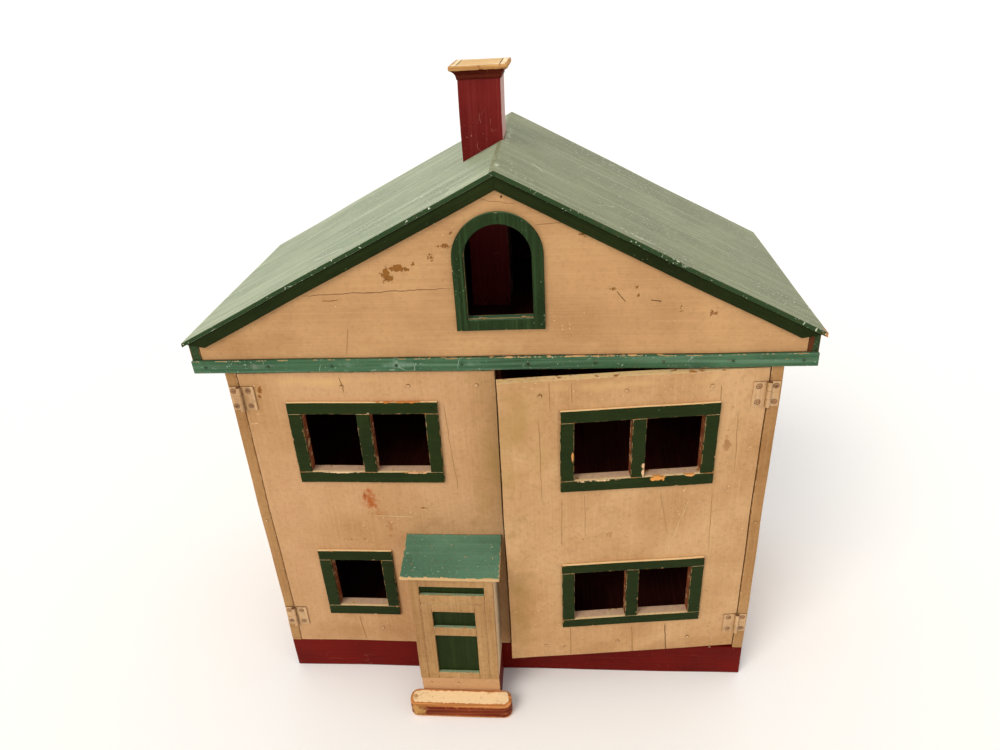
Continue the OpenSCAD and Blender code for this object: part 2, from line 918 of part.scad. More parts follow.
module right_lower_rails() {
    color(dark_green) on_right_door() window_rails(right_windows[1]);
}

module right_lower_stiles() {
    color(dark_green) on_right_door() window_stiles(right_windows[1]);
}

module right_door_leaves() {
    color(steel) on_right_door()
        leaves(door_leaf_w, [1], [0, 2], pin_r + pin_gap, door_screw_places);
}

module right_door_screws() {
    color(steel) on_right_door() for (place = door_screw_places)
        translate([place[0], 0, place[1]]) screw();
}

module right_door_nails() {
    color(steel) on_right_door() door_nails(right_windows, right_door_nail_places);
}

plinth_front();
plinth_back();
plinth_left();
plinth_right();
ground_floor();
middle_floor();
attic_floor();
left_wall();
right_wall();
back_wall();
lower_partition();
upper_partition();
left_post();
right_post();
front_gable();
back_gable();
gable_band();
left_eave_board();
right_eave_board();
left_roof_panel();
right_roof_panel();
left_barge_strip();
right_barge_strip();
arch_frame();
chimney_shaft();
cap_side_moulding();
cap_end_moulding();
post_hinge_leaves();
hinge_pins();
post_screws();
carcass_nails();
left_door_panel();
left_door_battens();
left_upper_rails();
left_upper_stiles();
left_lower_rails();
left_lower_stiles();
left_door_leaves();
left_door_screws();
left_door_nails();
porch_left_side();
porch_right_side();
porch_panel();
porch_stiles();
porch_rails();
porch_leaf_stiles();
porch_leaf_rails();
porch_roof();
porch_base();
porch_step();
porch_nails();
right_door_panel();
right_door_battens();
right_upper_rails();
right_upper_stiles();
right_lower_rails();
right_lower_stiles();
right_door_leaves();
right_door_screws();
right_door_nails();
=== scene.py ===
# %% [markdown]
# # A painted wooden dollhouse
# The house is a carcass of thin boards with two doors for a front, a gabled roof and a porch that is
# fixed to the left door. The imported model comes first: it holds every board at its true size, and all
# that follows is laid on it. Nothing here moves a board. New pieces take their corners from it.

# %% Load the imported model
import json
import math

import bmesh
import bpy
import numpy as np
from mathutils import Matrix, Vector

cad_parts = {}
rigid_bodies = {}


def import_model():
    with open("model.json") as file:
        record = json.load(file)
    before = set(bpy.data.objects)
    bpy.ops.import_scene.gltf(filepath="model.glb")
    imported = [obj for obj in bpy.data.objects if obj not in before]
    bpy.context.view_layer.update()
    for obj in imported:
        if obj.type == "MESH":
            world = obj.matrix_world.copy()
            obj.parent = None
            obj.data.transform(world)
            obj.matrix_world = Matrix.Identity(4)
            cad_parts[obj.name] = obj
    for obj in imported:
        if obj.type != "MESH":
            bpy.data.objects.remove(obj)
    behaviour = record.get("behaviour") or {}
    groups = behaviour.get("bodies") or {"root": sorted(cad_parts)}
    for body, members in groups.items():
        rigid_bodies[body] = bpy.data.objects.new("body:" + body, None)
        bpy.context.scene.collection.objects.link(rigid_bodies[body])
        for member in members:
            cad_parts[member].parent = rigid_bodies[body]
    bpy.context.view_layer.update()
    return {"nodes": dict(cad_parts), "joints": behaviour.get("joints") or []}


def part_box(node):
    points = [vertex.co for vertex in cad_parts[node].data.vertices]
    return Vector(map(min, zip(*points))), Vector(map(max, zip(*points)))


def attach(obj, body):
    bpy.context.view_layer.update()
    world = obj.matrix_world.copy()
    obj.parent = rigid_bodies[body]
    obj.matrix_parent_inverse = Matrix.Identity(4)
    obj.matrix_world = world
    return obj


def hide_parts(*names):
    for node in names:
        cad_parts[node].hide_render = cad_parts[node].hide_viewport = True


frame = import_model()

MM = 0.001
UP = (0, 0, 1)
FRONT = (0, -1, 0)
BACK = (0, 1, 0)
LEFT = (-1, 0, 0)
RIGHT = (1, 0, 0)
front_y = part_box("plinth_front")[0].y
print("nodes", len(frame["nodes"]), "front plane at", round(front_y, 5))

# %% [markdown]
# ## The roof's lines
# Nearly everything under the roof is cut to its slope, so the slopes come first. They are read from the
# packed roof: the highest and lowest points at its right tip, and the ridge over the arched window.


# %% The roof's slopes
def points_of(node):
    """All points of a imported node, in metres, as (n, 3)."""
    mesh = frame["nodes"][node].data
    points = np.empty(3 * len(mesh.vertices))
    mesh.vertices.foreach_get("co", points)
    return points.reshape(-1, 3)


roof_points = points_of("right_roof_panel")
tip_x = roof_points[:, 0].max()
tip_z = roof_points[roof_points[:, 0] > tip_x - 1e-5, 2]
arch_low, arch_high = (np.array(corner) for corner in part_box("arch_frame"))
ridge = np.array([(arch_low[0] + arch_high[0]) / 2, roof_points[:, 2].max()])
left_slope = (ridge[1] - tip_z.max()) / (ridge[0] + tip_x)
right_slope = (ridge[1] - tip_z.max()) / (tip_x - ridge[0])
roof_t = (tip_z.max() - tip_z.min()) / math.hypot(1, right_slope)


def roof_z(x, depth=0.0):
    """Height of the roof at x, or of the line that lies depth below it, square to the slope."""
    left = ridge[1] - (ridge[0] - x) * left_slope - depth * math.hypot(1, left_slope)
    right = ridge[1] - (x - ridge[0]) * right_slope - depth * math.hypot(1, right_slope)
    return np.minimum(left, right)


print("roof", round(roof_t / MM, 2), "mm thick, slopes", round(left_slope, 3), round(right_slope, 3))

# %% [markdown]
# ## Camera
# The house is looked at from a standing person's height: close, from above and a little to the left,
# with a wide lens. That is why its walls seem to draw in towards the floor. The camera's axes are
# worked out from three angles: yaw turns it about the vertical, pitch tips it down, roll leans it.

# %% Camera
yaw, pitch, roll = (math.radians(angle) for angle in (-5.46, 28.47, -3.28))
forward = Vector((math.sin(yaw) * math.cos(pitch), math.cos(yaw) * math.cos(pitch), -math.sin(pitch)))
level = Vector((math.cos(yaw), -math.sin(yaw), 0))
above = level.cross(forward)
camera_x = level * math.cos(roll) + above * math.sin(roll)
camera_y = above * math.cos(roll) - level * math.sin(roll)
camera = bpy.data.objects.new("camera", bpy.data.cameras.new("camera"))
camera.data.lens = 26.67
camera.data.sensor_width = 36
camera_axes = Matrix((camera_x, camera_y, -forward)).transposed().to_4x4()
camera_axes.translation = Vector((0.0709, front_y - 0.6941, 0.8341))
camera.matrix_world = camera_axes
bpy.context.scene.collection.objects.link(camera)
bpy.context.scene.camera = camera
print("camera at", [round(value, 3) for value in camera_axes.translation])

# %% [markdown]
# ## Colours
# Paint colours are picked as sRGB hex values, but light adds up on a linear scale. One function
# turns the first into the second: the dark end is a straight line, and the rest is a power of 2.4.


# %% From hex to linear
def linear(colour, alpha=1.0):
    """A hex colour as linear red, green, blue and alpha: c / 12.92 below 0.04045, else the power curve."""
    c = np.array([int(colour[i:i + 2], 16) for i in (1, 3, 5)]) / 255
    c = np.where(c <= 0.04045, c / 12.92, ((c + 0.055) / 1.055) ** 2.4)
    return (*c.tolist(), alpha)


print("cream is", [round(value, 3) for value in linear("#c49766")])

# %% [markdown]
# ## Nodes
# A finish is a small machine of nodes. The first helper adds a node, sets its own properties, and gives
# each input either a fixed value or a wire from another node. The others add the five kinds that come
# up all the time: a noise, a sum on numbers, a sum on vectors, a ramp and a blend of two colours.


# %% Helpers that add nodes
def add(tree, kind, inputs=(), **settings):
    """Adds a shader node of a kind. settings are its properties, inputs its sockets' values or wires."""
    node = tree.nodes.new("ShaderNode" + kind)
    for key, value in settings.items():
        setattr(node, key, value)
    for key, value in dict(inputs).items():
        if isinstance(value, bpy.types.NodeSocket):
            tree.links.new(value, node.inputs[key])
        else:
            node.inputs[key].default_value = value
    return node


def noise(tree, at, size, detail, rough=0.5, seed=None):
    """The outputs of a noise with lumps of size mm: a value round 0.5, then a colour. A seed gives
    another noise of the same kind, a step along a fourth axis."""
    inputs = {"Vector": at, "Scale": 1 / size, "Detail": detail, "Roughness": rough}
    if seed is None:
        return add(tree, "TexNoise", inputs).outputs
    return add(tree, "TexNoise", {**inputs, "W": seed}, noise_dimensions="4D").outputs


def calc(tree, operation, *values):
    """One sum on single numbers. MULTIPLY_ADD is the first times the second, plus the third."""
    return add(tree, "Math", dict(enumerate(values)), operation=operation).outputs[0]


def vector(tree, operation, *values):
    """One sum on vectors. A length or a dot product comes out as a single number."""
    outputs = add(tree, "VectorMath", dict(enumerate(values)), operation=operation).outputs
    return outputs[1 if operation in ("LENGTH", "DOT_PRODUCT") else 0]


def ramp(tree, value, low, high, top=1.0):
    """0 where value is low, top where it is high, a straight line between, and level beyond."""
    return add(tree, "MapRange", {"Value": value, "From Min": low, "From Max": high,
                                  "To Max": top}).outputs[0]


def blend(tree, share, base, over):
    """base where share is 0 and over where it is 1. Each is a hex colour or a wire."""
    base, over = (linear(one) if isinstance(one, str) else one for one in (base, over))
    return add(tree, "Mix", {0: share, 6: base, 7: over}, data_type="RGBA").outputs[2]


print("helpers: add, noise, calc, vector, ramp, blend")

# %% [markdown]
# ## Studio
# A plain pale floor and an even white room light, as in a catalogue. The floor is a disc: a grid of
# angle by radius, so that no edge of it shows. A wide sun from the upper left, like a tall window,
# gives the boards a lighter and a darker side and draws the edges of the thin strips.

# %% World, lamp and floor
scene = bpy.context.scene
scene.view_settings.view_transform = "Standard"
world = bpy.data.worlds.new("room")
world.use_nodes = True
world.node_tree.nodes["Background"].inputs["Color"].default_value = linear("#ffffff")
world.node_tree.nodes["Background"].inputs["Strength"].default_value = 0.72
scene.world = world

lamp = bpy.data.objects.new("window_light", bpy.data.lights.new("window_light", "SUN"))
lamp.data.energy = 1.45
lamp.data.angle = math.radians(30)
lamp.data.color = linear("#fff6ea")[:3]
lamp.matrix_world = Vector((0.42, 0.6, -0.72)).to_track_quat("-Z", "Y").to_matrix().to_4x4()
scene.collection.objects.link(lamp)


def floor_disc(radius, rings, spokes):
    """Points at radius times (ring / rings) squared, turned through even angles; each cell is a quad.
    Past 12 m it curves up as (r - 12) squared / 40, like a paper sweep, so no far edge shows."""
    r = radius * (np.arange(1, rings + 1) / rings) ** 2
    a = np.linspace(0, 2 * np.pi, spokes, endpoint=False)
    rise = np.repeat(np.maximum(r - 12, 0) ** 2 / 40, spokes).reshape(rings, spokes)
    grid = np.stack([np.outer(r, np.cos(a)), np.outer(r, np.sin(a)), rise], -1)
    points = np.vstack([[0, 0, 0], grid.reshape(-1, 3)])
    i, j = np.meshgrid(np.arange(rings - 1), np.arange(spokes), indexing="ij")
    here, there = 1 + i * spokes, 1 + (i + 1) * spokes
    quads = np.stack([here + j, there + j, there + (j + 1) % spokes, here + (j + 1) % spokes], -1)
    spoke = np.arange(spokes)
    middle = np.stack([np.zeros(spokes, int), 1 + spoke, 1 + (spoke + 1) % spokes], -1)
    return points, quads.reshape(-1, 4).tolist() + middle.tolist()


floor_mesh = bpy.data.meshes.new("floor")
floor_points, floor_faces = floor_disc(40.0, 24, 96)
floor_mesh.from_pydata(floor_points.tolist(), [], floor_faces)
floor = bpy.data.objects.new("floor", floor_mesh)
scene.collection.objects.link(floor)
paper = bpy.data.materials.new("matt_white_paper")
paper.use_nodes = True
paper.node_tree.nodes["Principled BSDF"].inputs["Base Color"].default_value = linear("#fefefd")
paper.node_tree.nodes["Principled BSDF"].inputs["Roughness"].default_value = 0.9
floor_mesh.materials.append(paper)
print("floor faces", len(floor_faces))

# %% [markdown]
# ## Marks in the paint
# Old paint is told by its accidents. Each mark is a mask between 0 and 1 over the place in millimetres:
# a crack is the distance from a line that a slow noise bends, a blot is a noise that has to beat a
# limit which rises away from a centre, so it breaks up into flakes at its rim, and a ring is the dirt
# that gathers round a screw. Some broad, soft blots are not accidents but painted shade and painted
# highlights.


# %% Cracks, blots and rings
def spot(place):
    """A place on the front given as (x, z), or any place as (x, y, z), and which of the three count."""
    if len(place) == 2:
        return np.array([place[0], 0.0, place[1]]), np.array([1, 0, 1])
    return np.array(place, float), np.array([1, 1, 1])


def crack(start, end, width=0.7, sway=2.0, colour="#5a3620"):
    """1 closer than width mm to the line from start to end. A slow noise sways the line and makes it
    thicker and thinner, and both ends fade over a tenth of its length."""
    (start, counted), (end, _) = spot(start), spot(end)
    length = np.linalg.norm(end - start)
    way = (end - start) / length

    def mark(tree, mm):
        slow = noise(tree, mm, 26, 5, 0.6)
        shift = vector(tree, "SUBTRACT", slow[1], (0.5, 0.5, 0.5))
        bent = vector(tree, "MULTIPLY_ADD", shift, (2 * sway,) * 3, mm)
        away = vector(tree, "MULTIPLY", vector(tree, "SUBTRACT", bent, start), counted)
        along = vector(tree, "DOT_PRODUCT", away, way)
        foot = add(tree, "VectorMath", {0: way, "Scale": along}, operation="SCALE").outputs[0]
        far = vector(tree, "LENGTH", vector(tree, "SUBTRACT", away, foot))
        far = calc(tree, "MULTIPLY_ADD", slow[0], 1.6 * width, far)
        line = ramp(tree, far, 1.8 * width, 1.15 * width)
        begin = ramp(tree, along, 0, 0.1 * length)
        stop = ramp(tree, along, length, 0.9 * length)
        ends = calc(tree, "MULTIPLY", begin, stop)
        return calc(tree, "MULTIPLY", ends, line), colour, 1.0

    return mark


def blot(centre, size, grit, share, soft=0.03, colour="#8a5a28", depth=1.0, fall=0.35):
    """1 where a noise of grit mm beats a limit that rises by fall for each size away from centre, mm."""
    (centre, counted), (size, _) = spot(centre), spot(size)
    shrink = counted / np.maximum(size, 1e-6)

    def mark(tree, mm):
        away = vector(tree, "MULTIPLY", vector(tree, "SUBTRACT", mm, centre), shrink)
        grain = noise(tree, mm, grit, 4, 0.6)[0]
        height = calc(tree, "MULTIPLY_ADD", vector(tree, "LENGTH", away), -fall, grain)
        return ramp(tree, height, 1 - share, 1 - share + soft), colour, depth

    return mark


def ringed(centre, radius, width, colour):
    """1 within width mm of the circle of that radius round a place on the front, in mm."""
    def mark(tree, mm):
        away = vector(tree, "MULTIPLY", vector(tree, "SUBTRACT", mm, spot(centre)[0]), (1, 0, 1))
        off = calc(tree, "SUBTRACT", vector(tree, "LENGTH", away), radius)
        off = calc(tree, "ABSOLUTE", off)
        return ramp(tree, off, width, 0.3 * width), colour, 0.6

    return mark


print("marks: crack, blot, ringed")

# %% [markdown]
# ## Brushed oil paint on wood
# The house is softwood board under household oil paint, laid on by brush and worn by a century of
# hands. From the bottom up that gives: a tone that drifts over a hand's width, streaks along the
# brush, grime in fine spots, stray specks, then chips down to the bare wood. Chips come where a noise
# beats a limit, and the `wear` that each board carries on its edges lowers that limit, so edges go
# first. Streaks and chips also raise and lower the surface in the bump.


# %% The paint
def painted(name, colour, shade, pale, under="#c88c4c", brush=(1, 0, 0), lean=0.0, stroke_w=3.0,
            streak=0.35, grime=0.3, flecks=0.0, fleck="#dfe0cc", hairs=0.0, chips=0.80, edge=0.3,
            soft=0.02, grit=11.0, rim="#d8bd92", rough=0.5, gloss=0.06, faces=(), marks=()):
    """A brushed paint. brush is the way of the strokes, lean turns it about Y and stroke_w is their
    width in mm. flecks and hairs are the strengths of pale spots and scratches in fleck's colour.
    Chips of about grit mm show the wood under the paint, with a rim of older paint round each."""
    finish = bpy.data.materials.new(name)
    finish.use_nodes = True
    tree = finish.node_tree
    shader = tree.nodes["Principled BSDF"]
    shader.inputs["Specular IOR Level"].default_value = gloss
    place = add(tree, "TexCoord").outputs["Object"]
    mm = add(tree, "VectorMath", {0: place, "Scale": 1000.0}, operation="SCALE").outputs[0]
    laid = add(tree, "Mapping", {"Vector": mm, "Rotation": (0, lean, 0)}).outputs[0]
    # lengths in mm of the strokes and of the bristle lines in them, which are a third as wide
    stroke_l, bristle_l = 160, 90
    long_way = np.array(brush, float)
    stroke_scale = long_way / stroke_l + (1 - long_way) / stroke_w
    bristle_scale = long_way / bristle_l + (1 - long_way) * 3 / stroke_w
    stroke = noise(tree, vector(tree, "MULTIPLY", laid, stroke_scale), 1, 3)[0]
    bristle = noise(tree, vector(tree, "MULTIPLY", laid, bristle_scale), 1, 2)[0]
    # the tone drifts over a hand's width, and grime comes in specks of a few millimetres
    drift = noise(tree, mm, 95, 5, 0.6)[0]
    fine = noise(tree, mm, 5, 6, 0.65)[0]

    mixed = blend(tree, ramp(tree, drift, 0.38, 0.66), colour, shade)
    mixed = blend(tree, ramp(tree, stroke, 0.47, 0.68, streak), mixed, pale)
    mixed = blend(tree, ramp(tree, bristle, 0.5, 0.3, streak), mixed, shade)
    normal = add(tree, "NewGeometry").outputs["Normal"]
    for way, face_colour, amount in faces:
        ragged = calc(tree, "MULTIPLY_ADD", fine, 0.5, vector(tree, "DOT_PRODUCT", normal, way))
        mixed = blend(tree, ramp(tree, ragged, 0.86, 0.98, amount), mixed, face_colour)
    mixed = blend(tree, ramp(tree, fine, 0.5, 0.75, grime), mixed, "#5f4128")
    if flecks:
        # spots of 1 to 2 mm where a fine noise peaks, in drifts where a coarse one is high
        crowd = calc(tree, "MULTIPLY_ADD", drift, 0.35, noise(tree, mm, 2.6, 2)[0])
        spots = ramp(tree, crowd, 0.96 - 0.1 * flecks, 1.0 - 0.1 * flecks)
        mixed = blend(tree, spots, mixed, fleck)
    if hairs:
        # a scratch is where a slow noise crosses its middle value, kept only in some places
        off = calc(tree, "SUBTRACT", noise(tree, mm, 34, 1, seed=3.0)[0], 0.5)
        line = ramp(tree, calc(tree, "ABSOLUTE", off), 0.008, 0.003)
        where = ramp(tree, noise(tree, mm, 24, 2, seed=8.0)[0], 0.56, 0.66, hairs)
        mixed = blend(tree, calc(tree, "MULTIPLY", line, where), mixed, fleck)

    wear = add(tree, "Attribute", attribute_name="wear").outputs["Fac"]
    weak = calc(tree, "MULTIPLY_ADD", wear, edge, noise(tree, mm, grit, 6, 0.62)[0])
    mixed = blend(tree, ramp(tree, weak, chips - 0.035, chips - 0.02), mixed, rim)
    bare = ramp(tree, weak, chips, chips + soft)
    wood = blend(tree, ramp(tree, stroke, 0.3, 0.7), under, "#8a5526")
    mixed = blend(tree, bare, mixed, wood)
    sunk = bare
    for make_mark in marks:
        mask, mark_colour, depth = make_mark(tree, mm)
        mixed = blend(tree, mask, mixed, mark_colour)
        sunk = calc(tree, "MULTIPLY_ADD", mask, depth, sunk)

    tree.links.new(mixed, shader.inputs["Base Color"])
    dull = add(tree, "MapRange", {"Value": stroke, "To Min": rough - 0.1, "To Max": rough + 0.14})
    matt = add(tree, "Mix", {0: bare, 2: dull.outputs[0], 3: 0.8}).outputs[0]
    tree.links.new(matt, shader.inputs["Roughness"])
    relief = calc(tree, "MULTIPLY_ADD", bristle, 0.5, stroke)
    relief = calc(tree, "MULTIPLY_ADD", sunk, -1.2, relief)
    relief = calc(tree, "MULTIPLY_ADD", fine, 0.4, relief)
    # the paint film is about a third of a millimetre thick
    bump = add(tree, "Bump", {"Height": relief, "Strength": 1.0, "Distance": 0.33 * MM}).outputs[0]
    tree.links.new(bump, shader.inputs["Normal"])
    return finish


print("helper: painted")

# %% Creams
CREAM = dict(shade="#b3875a", pale="#d9b183", under="#c98f52", rim="#e2c79d", flecks=0.6,
             fleck="#dfc094", brush=UP)
gable_cream = painted(
    "cream_oil_paint_gable", "#c29768", shade="#b0855a", pale="#d3aa7c", streak=0.2,
    stroke_w=2.2, grime=0.2, chips=0.88, flecks=0.3, fleck="#e0bf93",
    # the first blot darkens the far left corner under the eave: painted shade
    marks=[blot((-285, 500), (70, 40), 40, 0.85, 0.6, "#a3774a", 0.0),
           crack((-200, 551), (-34, 557), 0.55, 3.0, "#8a6440"),
           crack((44, 619), (84, 622), 0.4, 1.5, "#946c46"),
           crack((-153, 515), (-159, 482), 0.45, 1.5, "#a37746"),
           crack((-176, 545), (-158, 546), 0.6, 2.0, "#8f6238"),
           crack((126, 549), (137, 538), 0.6, 4.0), crack((160, 540), (171, 538), 0.8, 1.5),
           blot((122, 552), (10, 3), 2.5, 0.62), blot((190, 530), (9, 14), 2.5, 0.50),
           crack((-10, 648), (30, 640), 0.3, 4.0, "#ab8054"),
           crack((60, 648), (100, 622), 0.4, 3.0, "#9a6f45"),
           blot((-106, 573), (5, 8), 5, 0.80), blot((-101, 568), (4, 4), 4, 0.80),
           blot((-92, 579), (10, 4), 4, 0.80), blot((-83, 577), (3, 2), 3, 0.80),
           blot((-77, 583), (4, 4), 2.5, 0.66), blot((-57, 590), (6, 9), 2.5, 0.62),
           blot((-43, 601), (11, 3), 2.5, 0.68), blot((93, 609), (8, 5), 3, 0.60),
           blot((146, 554), (5, 4), 3, 0.60), blot((148, 545), (4, 4), 3, 0.60),
           blot((223, 525), (9, 10), 3, 0.58, colour="#8f6238"),
           blot((15, 648), (1.3, 1.3), 3, 0.80, colour="#5a3d28"),
           blot((-36, 614), (3, 3), 3, 0.68, colour="#8f6238"),
           # a paler patch low to the right of the arch is a painted highlight
           blot((100, 490), (200, 26), 50, 0.62, 0.3, "#cfa877", 0.0),
           blot((-120, 500), (150, 14), 40, 0.55, 0.3, "#b5875a", 0.0)])
# broad soft blots that make the doors darker low down and above the porch
LOW_DARKENING = dict(soft=0.5, colour="#9d7246", depth=0.0)
left_marks = [
    blot((-230, 60), (150, 60), 50, 0.72, **LOW_DARKENING), blot((-90, 250), (100, 30), 30, 0.62, **LOW_DARKENING),
    # darker along the edge where the doors meet: painted shade between the two doors
    blot((-8, 360), (34, 170), 40, 0.80, 0.5, "#a5824c", 0.0),
    blot((-262, 240), (30, 220), 40, 0.70, 0.5, "#bd8d68", 0.0),
    blot((-190, 450), (150, 12), 40, 0.70, 0.5, "#d4ab72", 0.0),
    blot((-160, 288), (10, 18), 6, 0.88, 0.3, "#a65c2e", 0.1),
    blot((-166, 294), (3, 8), 5, 0.80, 0.3, "#8f3f17", 0.1),
    blot((-154, 266), (18, 6), 4, 0.74, 0.3, "#a96f42", 0.1),
    blot((-141, 246), (5, 22), 5, 0.74, 0.3, "#a06c40", 0.1),
    blot((-185, 226), (55, 7), 5, 0.56, 0.1, "#a1754a", 0.1),
    blot((-264, 441), (3.0, 5), 4, 0.80), blot((-266, 433), (2.5, 3), 4, 0.78),
    blot((-96, 276), (10, 2.5), 3, 0.62), crack((-160, 264), (-110, 262), 0.5, 1.0, "#dcb98a"),
    crack((-172, 456), (-169, 436), 0.5, 1.5, "#8c6238"),
    crack((-60, 425), (-52, 300), 0.4, 2.0, "#a88252"),
    crack((-201, 97), (-196, 50), 0.5, 1.5, "#946b40")]
right_marks = [
    blot((200, 60), (200, 50), 50, 0.72, **LOW_DARKENING),
    blot((110, 250), (120, 26), 8, 0.52, 0.15, "#a67c4c", 0.1),
    # the next two blots darken the edge where the doors meet: painted shade between the doors
    blot((20, 400), (50, 110), 40, 0.78, 0.5, "#ab8750", 0.0),
    blot((14, 150), (26, 130), 30, 0.80, 0.5, "#9d7a48", 0.0),
    blot((150, 452), (150, 10), 40, 0.72, 0.5, "#d8b077", 0.0),
    crack((57, 462), (58, 424), 0.45, 1.2, "#ab8154"),
    crack((80, 458), (81, 432), 0.4, 1.0, "#a87d50"),
    crack((237, 444), (238, 424), 0.5, 1.0, "#94703f"),
    crack((69, 310), (68, 236), 0.45, 1.5, "#ab8154"),
    crack((95, 314), (96, 246), 0.4, 1.5, "#ab8154"),
    crack((45, 420), (47, 300), 0.4, 1.5, "#a88050"),
    crack((180, 312), (192, 244), 0.4, 1.5, "#ae8558"),
    crack((215, 300), (190, 215), 0.5, 3.0, "#d9b788"),
    crack((239, 308), (242, 216), 0.4, 1.5, "#ab8154"),
    crack((78, 105), (78, 50), 0.5, 1.5, "#94703f"),
    crack((155, 102), (157, 50), 0.45, 1.2, "#94703f"), crack((197, 100), (201, 46), 0.8, 2.0),
    crack((258, 410), (262, 330), 0.4, 2.0, "#ab8154"),
    blot((250, 380), (14, 60), 12, 0.62, 0.12, "#a3784f", 0.1),
    blot((70, 72), (14, 8), 4, 0.58, 0.1, "#9c7248", 0.1)]
cream = painted("cream_oil_paint", "#bd9164", streak=0.18, chips=0.86, **CREAM)
# the up-facing edges of the doors are painted paler: worn paint, and a painted highlight where light falls
# on the top
DOOR_TOP_HIGHLIGHT = [(UP, "#e6c48c", 0.85)]
left_cream = painted("cream_oil_paint_left_door", "#c4996f", streak=0.15, grime=0.26, chips=0.86,
                     marks=left_marks, faces=DOOR_TOP_HIGHLIGHT, **CREAM)
right_cream = painted("cream_oil_paint_right_door", "#c9a073", streak=0.15, grime=0.26, chips=0.88,
                      marks=right_marks, faces=DOOR_TOP_HIGHLIGHT, **CREAM)
PORCH = dict(colour="#b08857", shade="#94693d", pale="#cba678", brush=UP, rim="#dcbd8e", grit=6.0)
# up-facing ledges in the porch's recesses show its green paint, painted lighter green as a highlight from
# above
porch_cream = painted("cream_oil_paint_porch", grime=0.4, under="#a8743d", streak=0.25, rough=0.45,
                      gloss=0.15, faces=[(UP, "#7ea081", 0.8)], **PORCH)
# the sides facing right are painted paler: painted light on the porch's right side
porch_side_cream = painted("cream_oil_paint_porch_sides", chips=0.82, under="#c98f52", streak=0.2,
                           faces=[(RIGHT, "#ecd2ac", 0.8)], **PORCH)
print("creams made")

# %% Greens and reds
left_lean, right_lean = math.atan(left_slope), -math.atan(right_slope)
ROOF = dict(stroke_w=9.0, chips=0.92, edge=0.12, under="#c6c8ac", rough=0.46)
# the two slopes are one sage paint: the left copy is paler and the right darker and more olive, painted
# light and painted shade for how light falls on each slope
roof_green_left = painted(
    "sage_green_oil_paint_left", "#a0ab8c", shade="#87947a", pale="#c3cbaf", lean=left_lean,
    streak=0.7, grime=0.2, flecks=1.0, fleck="#d8dcc6", hairs=0.6, rim="#c9ceb4", **ROOF,
    faces=[(FRONT, "#2c4226", 1.0), (LEFT, "#2f482a", 1.0)],
    marks=[crack((-6, -120, 668), (6, -120, 674), 0.7, 1.0, "#4d5c46"),
           crack((-191, -78, 574), (-150, -98, 595), 1.6, 3.0, "#e3e8d2")])
roof_green_right = painted(
    "sage_green_oil_paint_right", "#8d9373", shade="#787f60", pale="#aab090", lean=right_lean,
    streak=0.5, flecks=1.1, fleck="#c6cab2", hairs=0.4, rim="#b9bda0", **ROOF,
    faces=[(FRONT, "#2c4226", 1.0), (RIGHT, "#3a4c2c", 1.0)],
    marks=[crack((41, -23, 657), (55, -42, 650), 0.8, 2.0, "#d3d6bf"),
           crack((85, -62, 634), (107, -67, 622), 0.5, 4.0, "#c9ccb4"),
           crack((107, -67, 622), (138, -22, 606), 0.5, 4.0, "#c9ccb4"),
           crack((151, -42, 600), (171, -48, 589), 0.5, 3.0, "#5d6644"),
           blot((14, 60, 671), (7, 130, 9), 5, 0.60, 0.2, "#c3c8ae", 0.2),
           blot((11, -100, 673), (10, 16, 9), 5, 0.62, 0.2, "#c9cdb4", 0.2),
           blot((150, -110, 600), (80, 10, 50), 4, 0.56, 0.1, "#c3c8ae", 0.2),
           blot((336, -121, 503), (4, 9, 5), 5, 0.85, 0.1, "#b98555")])
band_green = painted("mid_green_oil_paint", "#44684a", shade="#33523a", pale="#6b8a70", streak=0.6,
                     grime=0.25, flecks=1.0, fleck="#9db09a", hairs=0.8, chips=0.84, edge=0.26,
                     under="#c7a56c",
                     marks=[blot((-90, 472), (110, 7), 30, 0.66, 0.3, "#7b9480", 0.1),
                            blot((-270, 471), (70, 7), 14, 0.64, 0.3, "#6f7a69", 0.1),
                            blot((-120, 466), (200, 2.0), 8, 0.54, 0.2, "#8fa78f", 0.1),
                            blot((60, 479), (260, 1.6), 9, 0.58, 0.05, "#c9a472"),
                            blot((300, 473), (20, 5), 6, 0.5, 0.1, "#b08a52")])
band_nail_green = painted("mid_green_oil_paint_on_nails", "#31503a", shade="#24402c", pale="#6b8a70",
                          chips=0.66, under="#203325", rim="#28402e")
eave_green = painted("mid_green_oil_paint_eaves", "#33462a", shade="#26361f", pale="#4c6140",
                     brush=BACK, streak=0.5, grime=0.2, flecks=0.6, fleck="#7d9072", chips=0.78,
                     under="#6b4222", rim="#55502f",
                     marks=[blot((322.5, 490), (3.0, 14), 5, 0.90, 0.05, "#5b3119")])
BARGE = dict(shade="#19210b", pale="#2c391a", streak=0.3, grime=0.06, flecks=0.4, fleck="#5a7050",
             chips=0.95, edge=0.2, rim="#3f5230", gloss=0.04)
barge_greens = {"left": painted("black_green_oil_paint_left", "#20290f", lean=left_lean, **BARGE),
                "right": painted("black_green_oil_paint_right", "#20290f", lean=right_lean, **BARGE)}
arch_green = painted("dark_green_oil_paint_arch", "#24351a", shade="#1b2a13", pale="#395430",
                     brush=UP, streak=0.5, grime=0.08, flecks=0.8, fleck="#6d8768",
                     chips=0.9, edge=0.24, faces=[(UP, "#46664a", 0.9)],
                     marks=[blot((9, 523), (32, 6), 5, 0.45, 0.3, "#6d8a70", 0.1)])
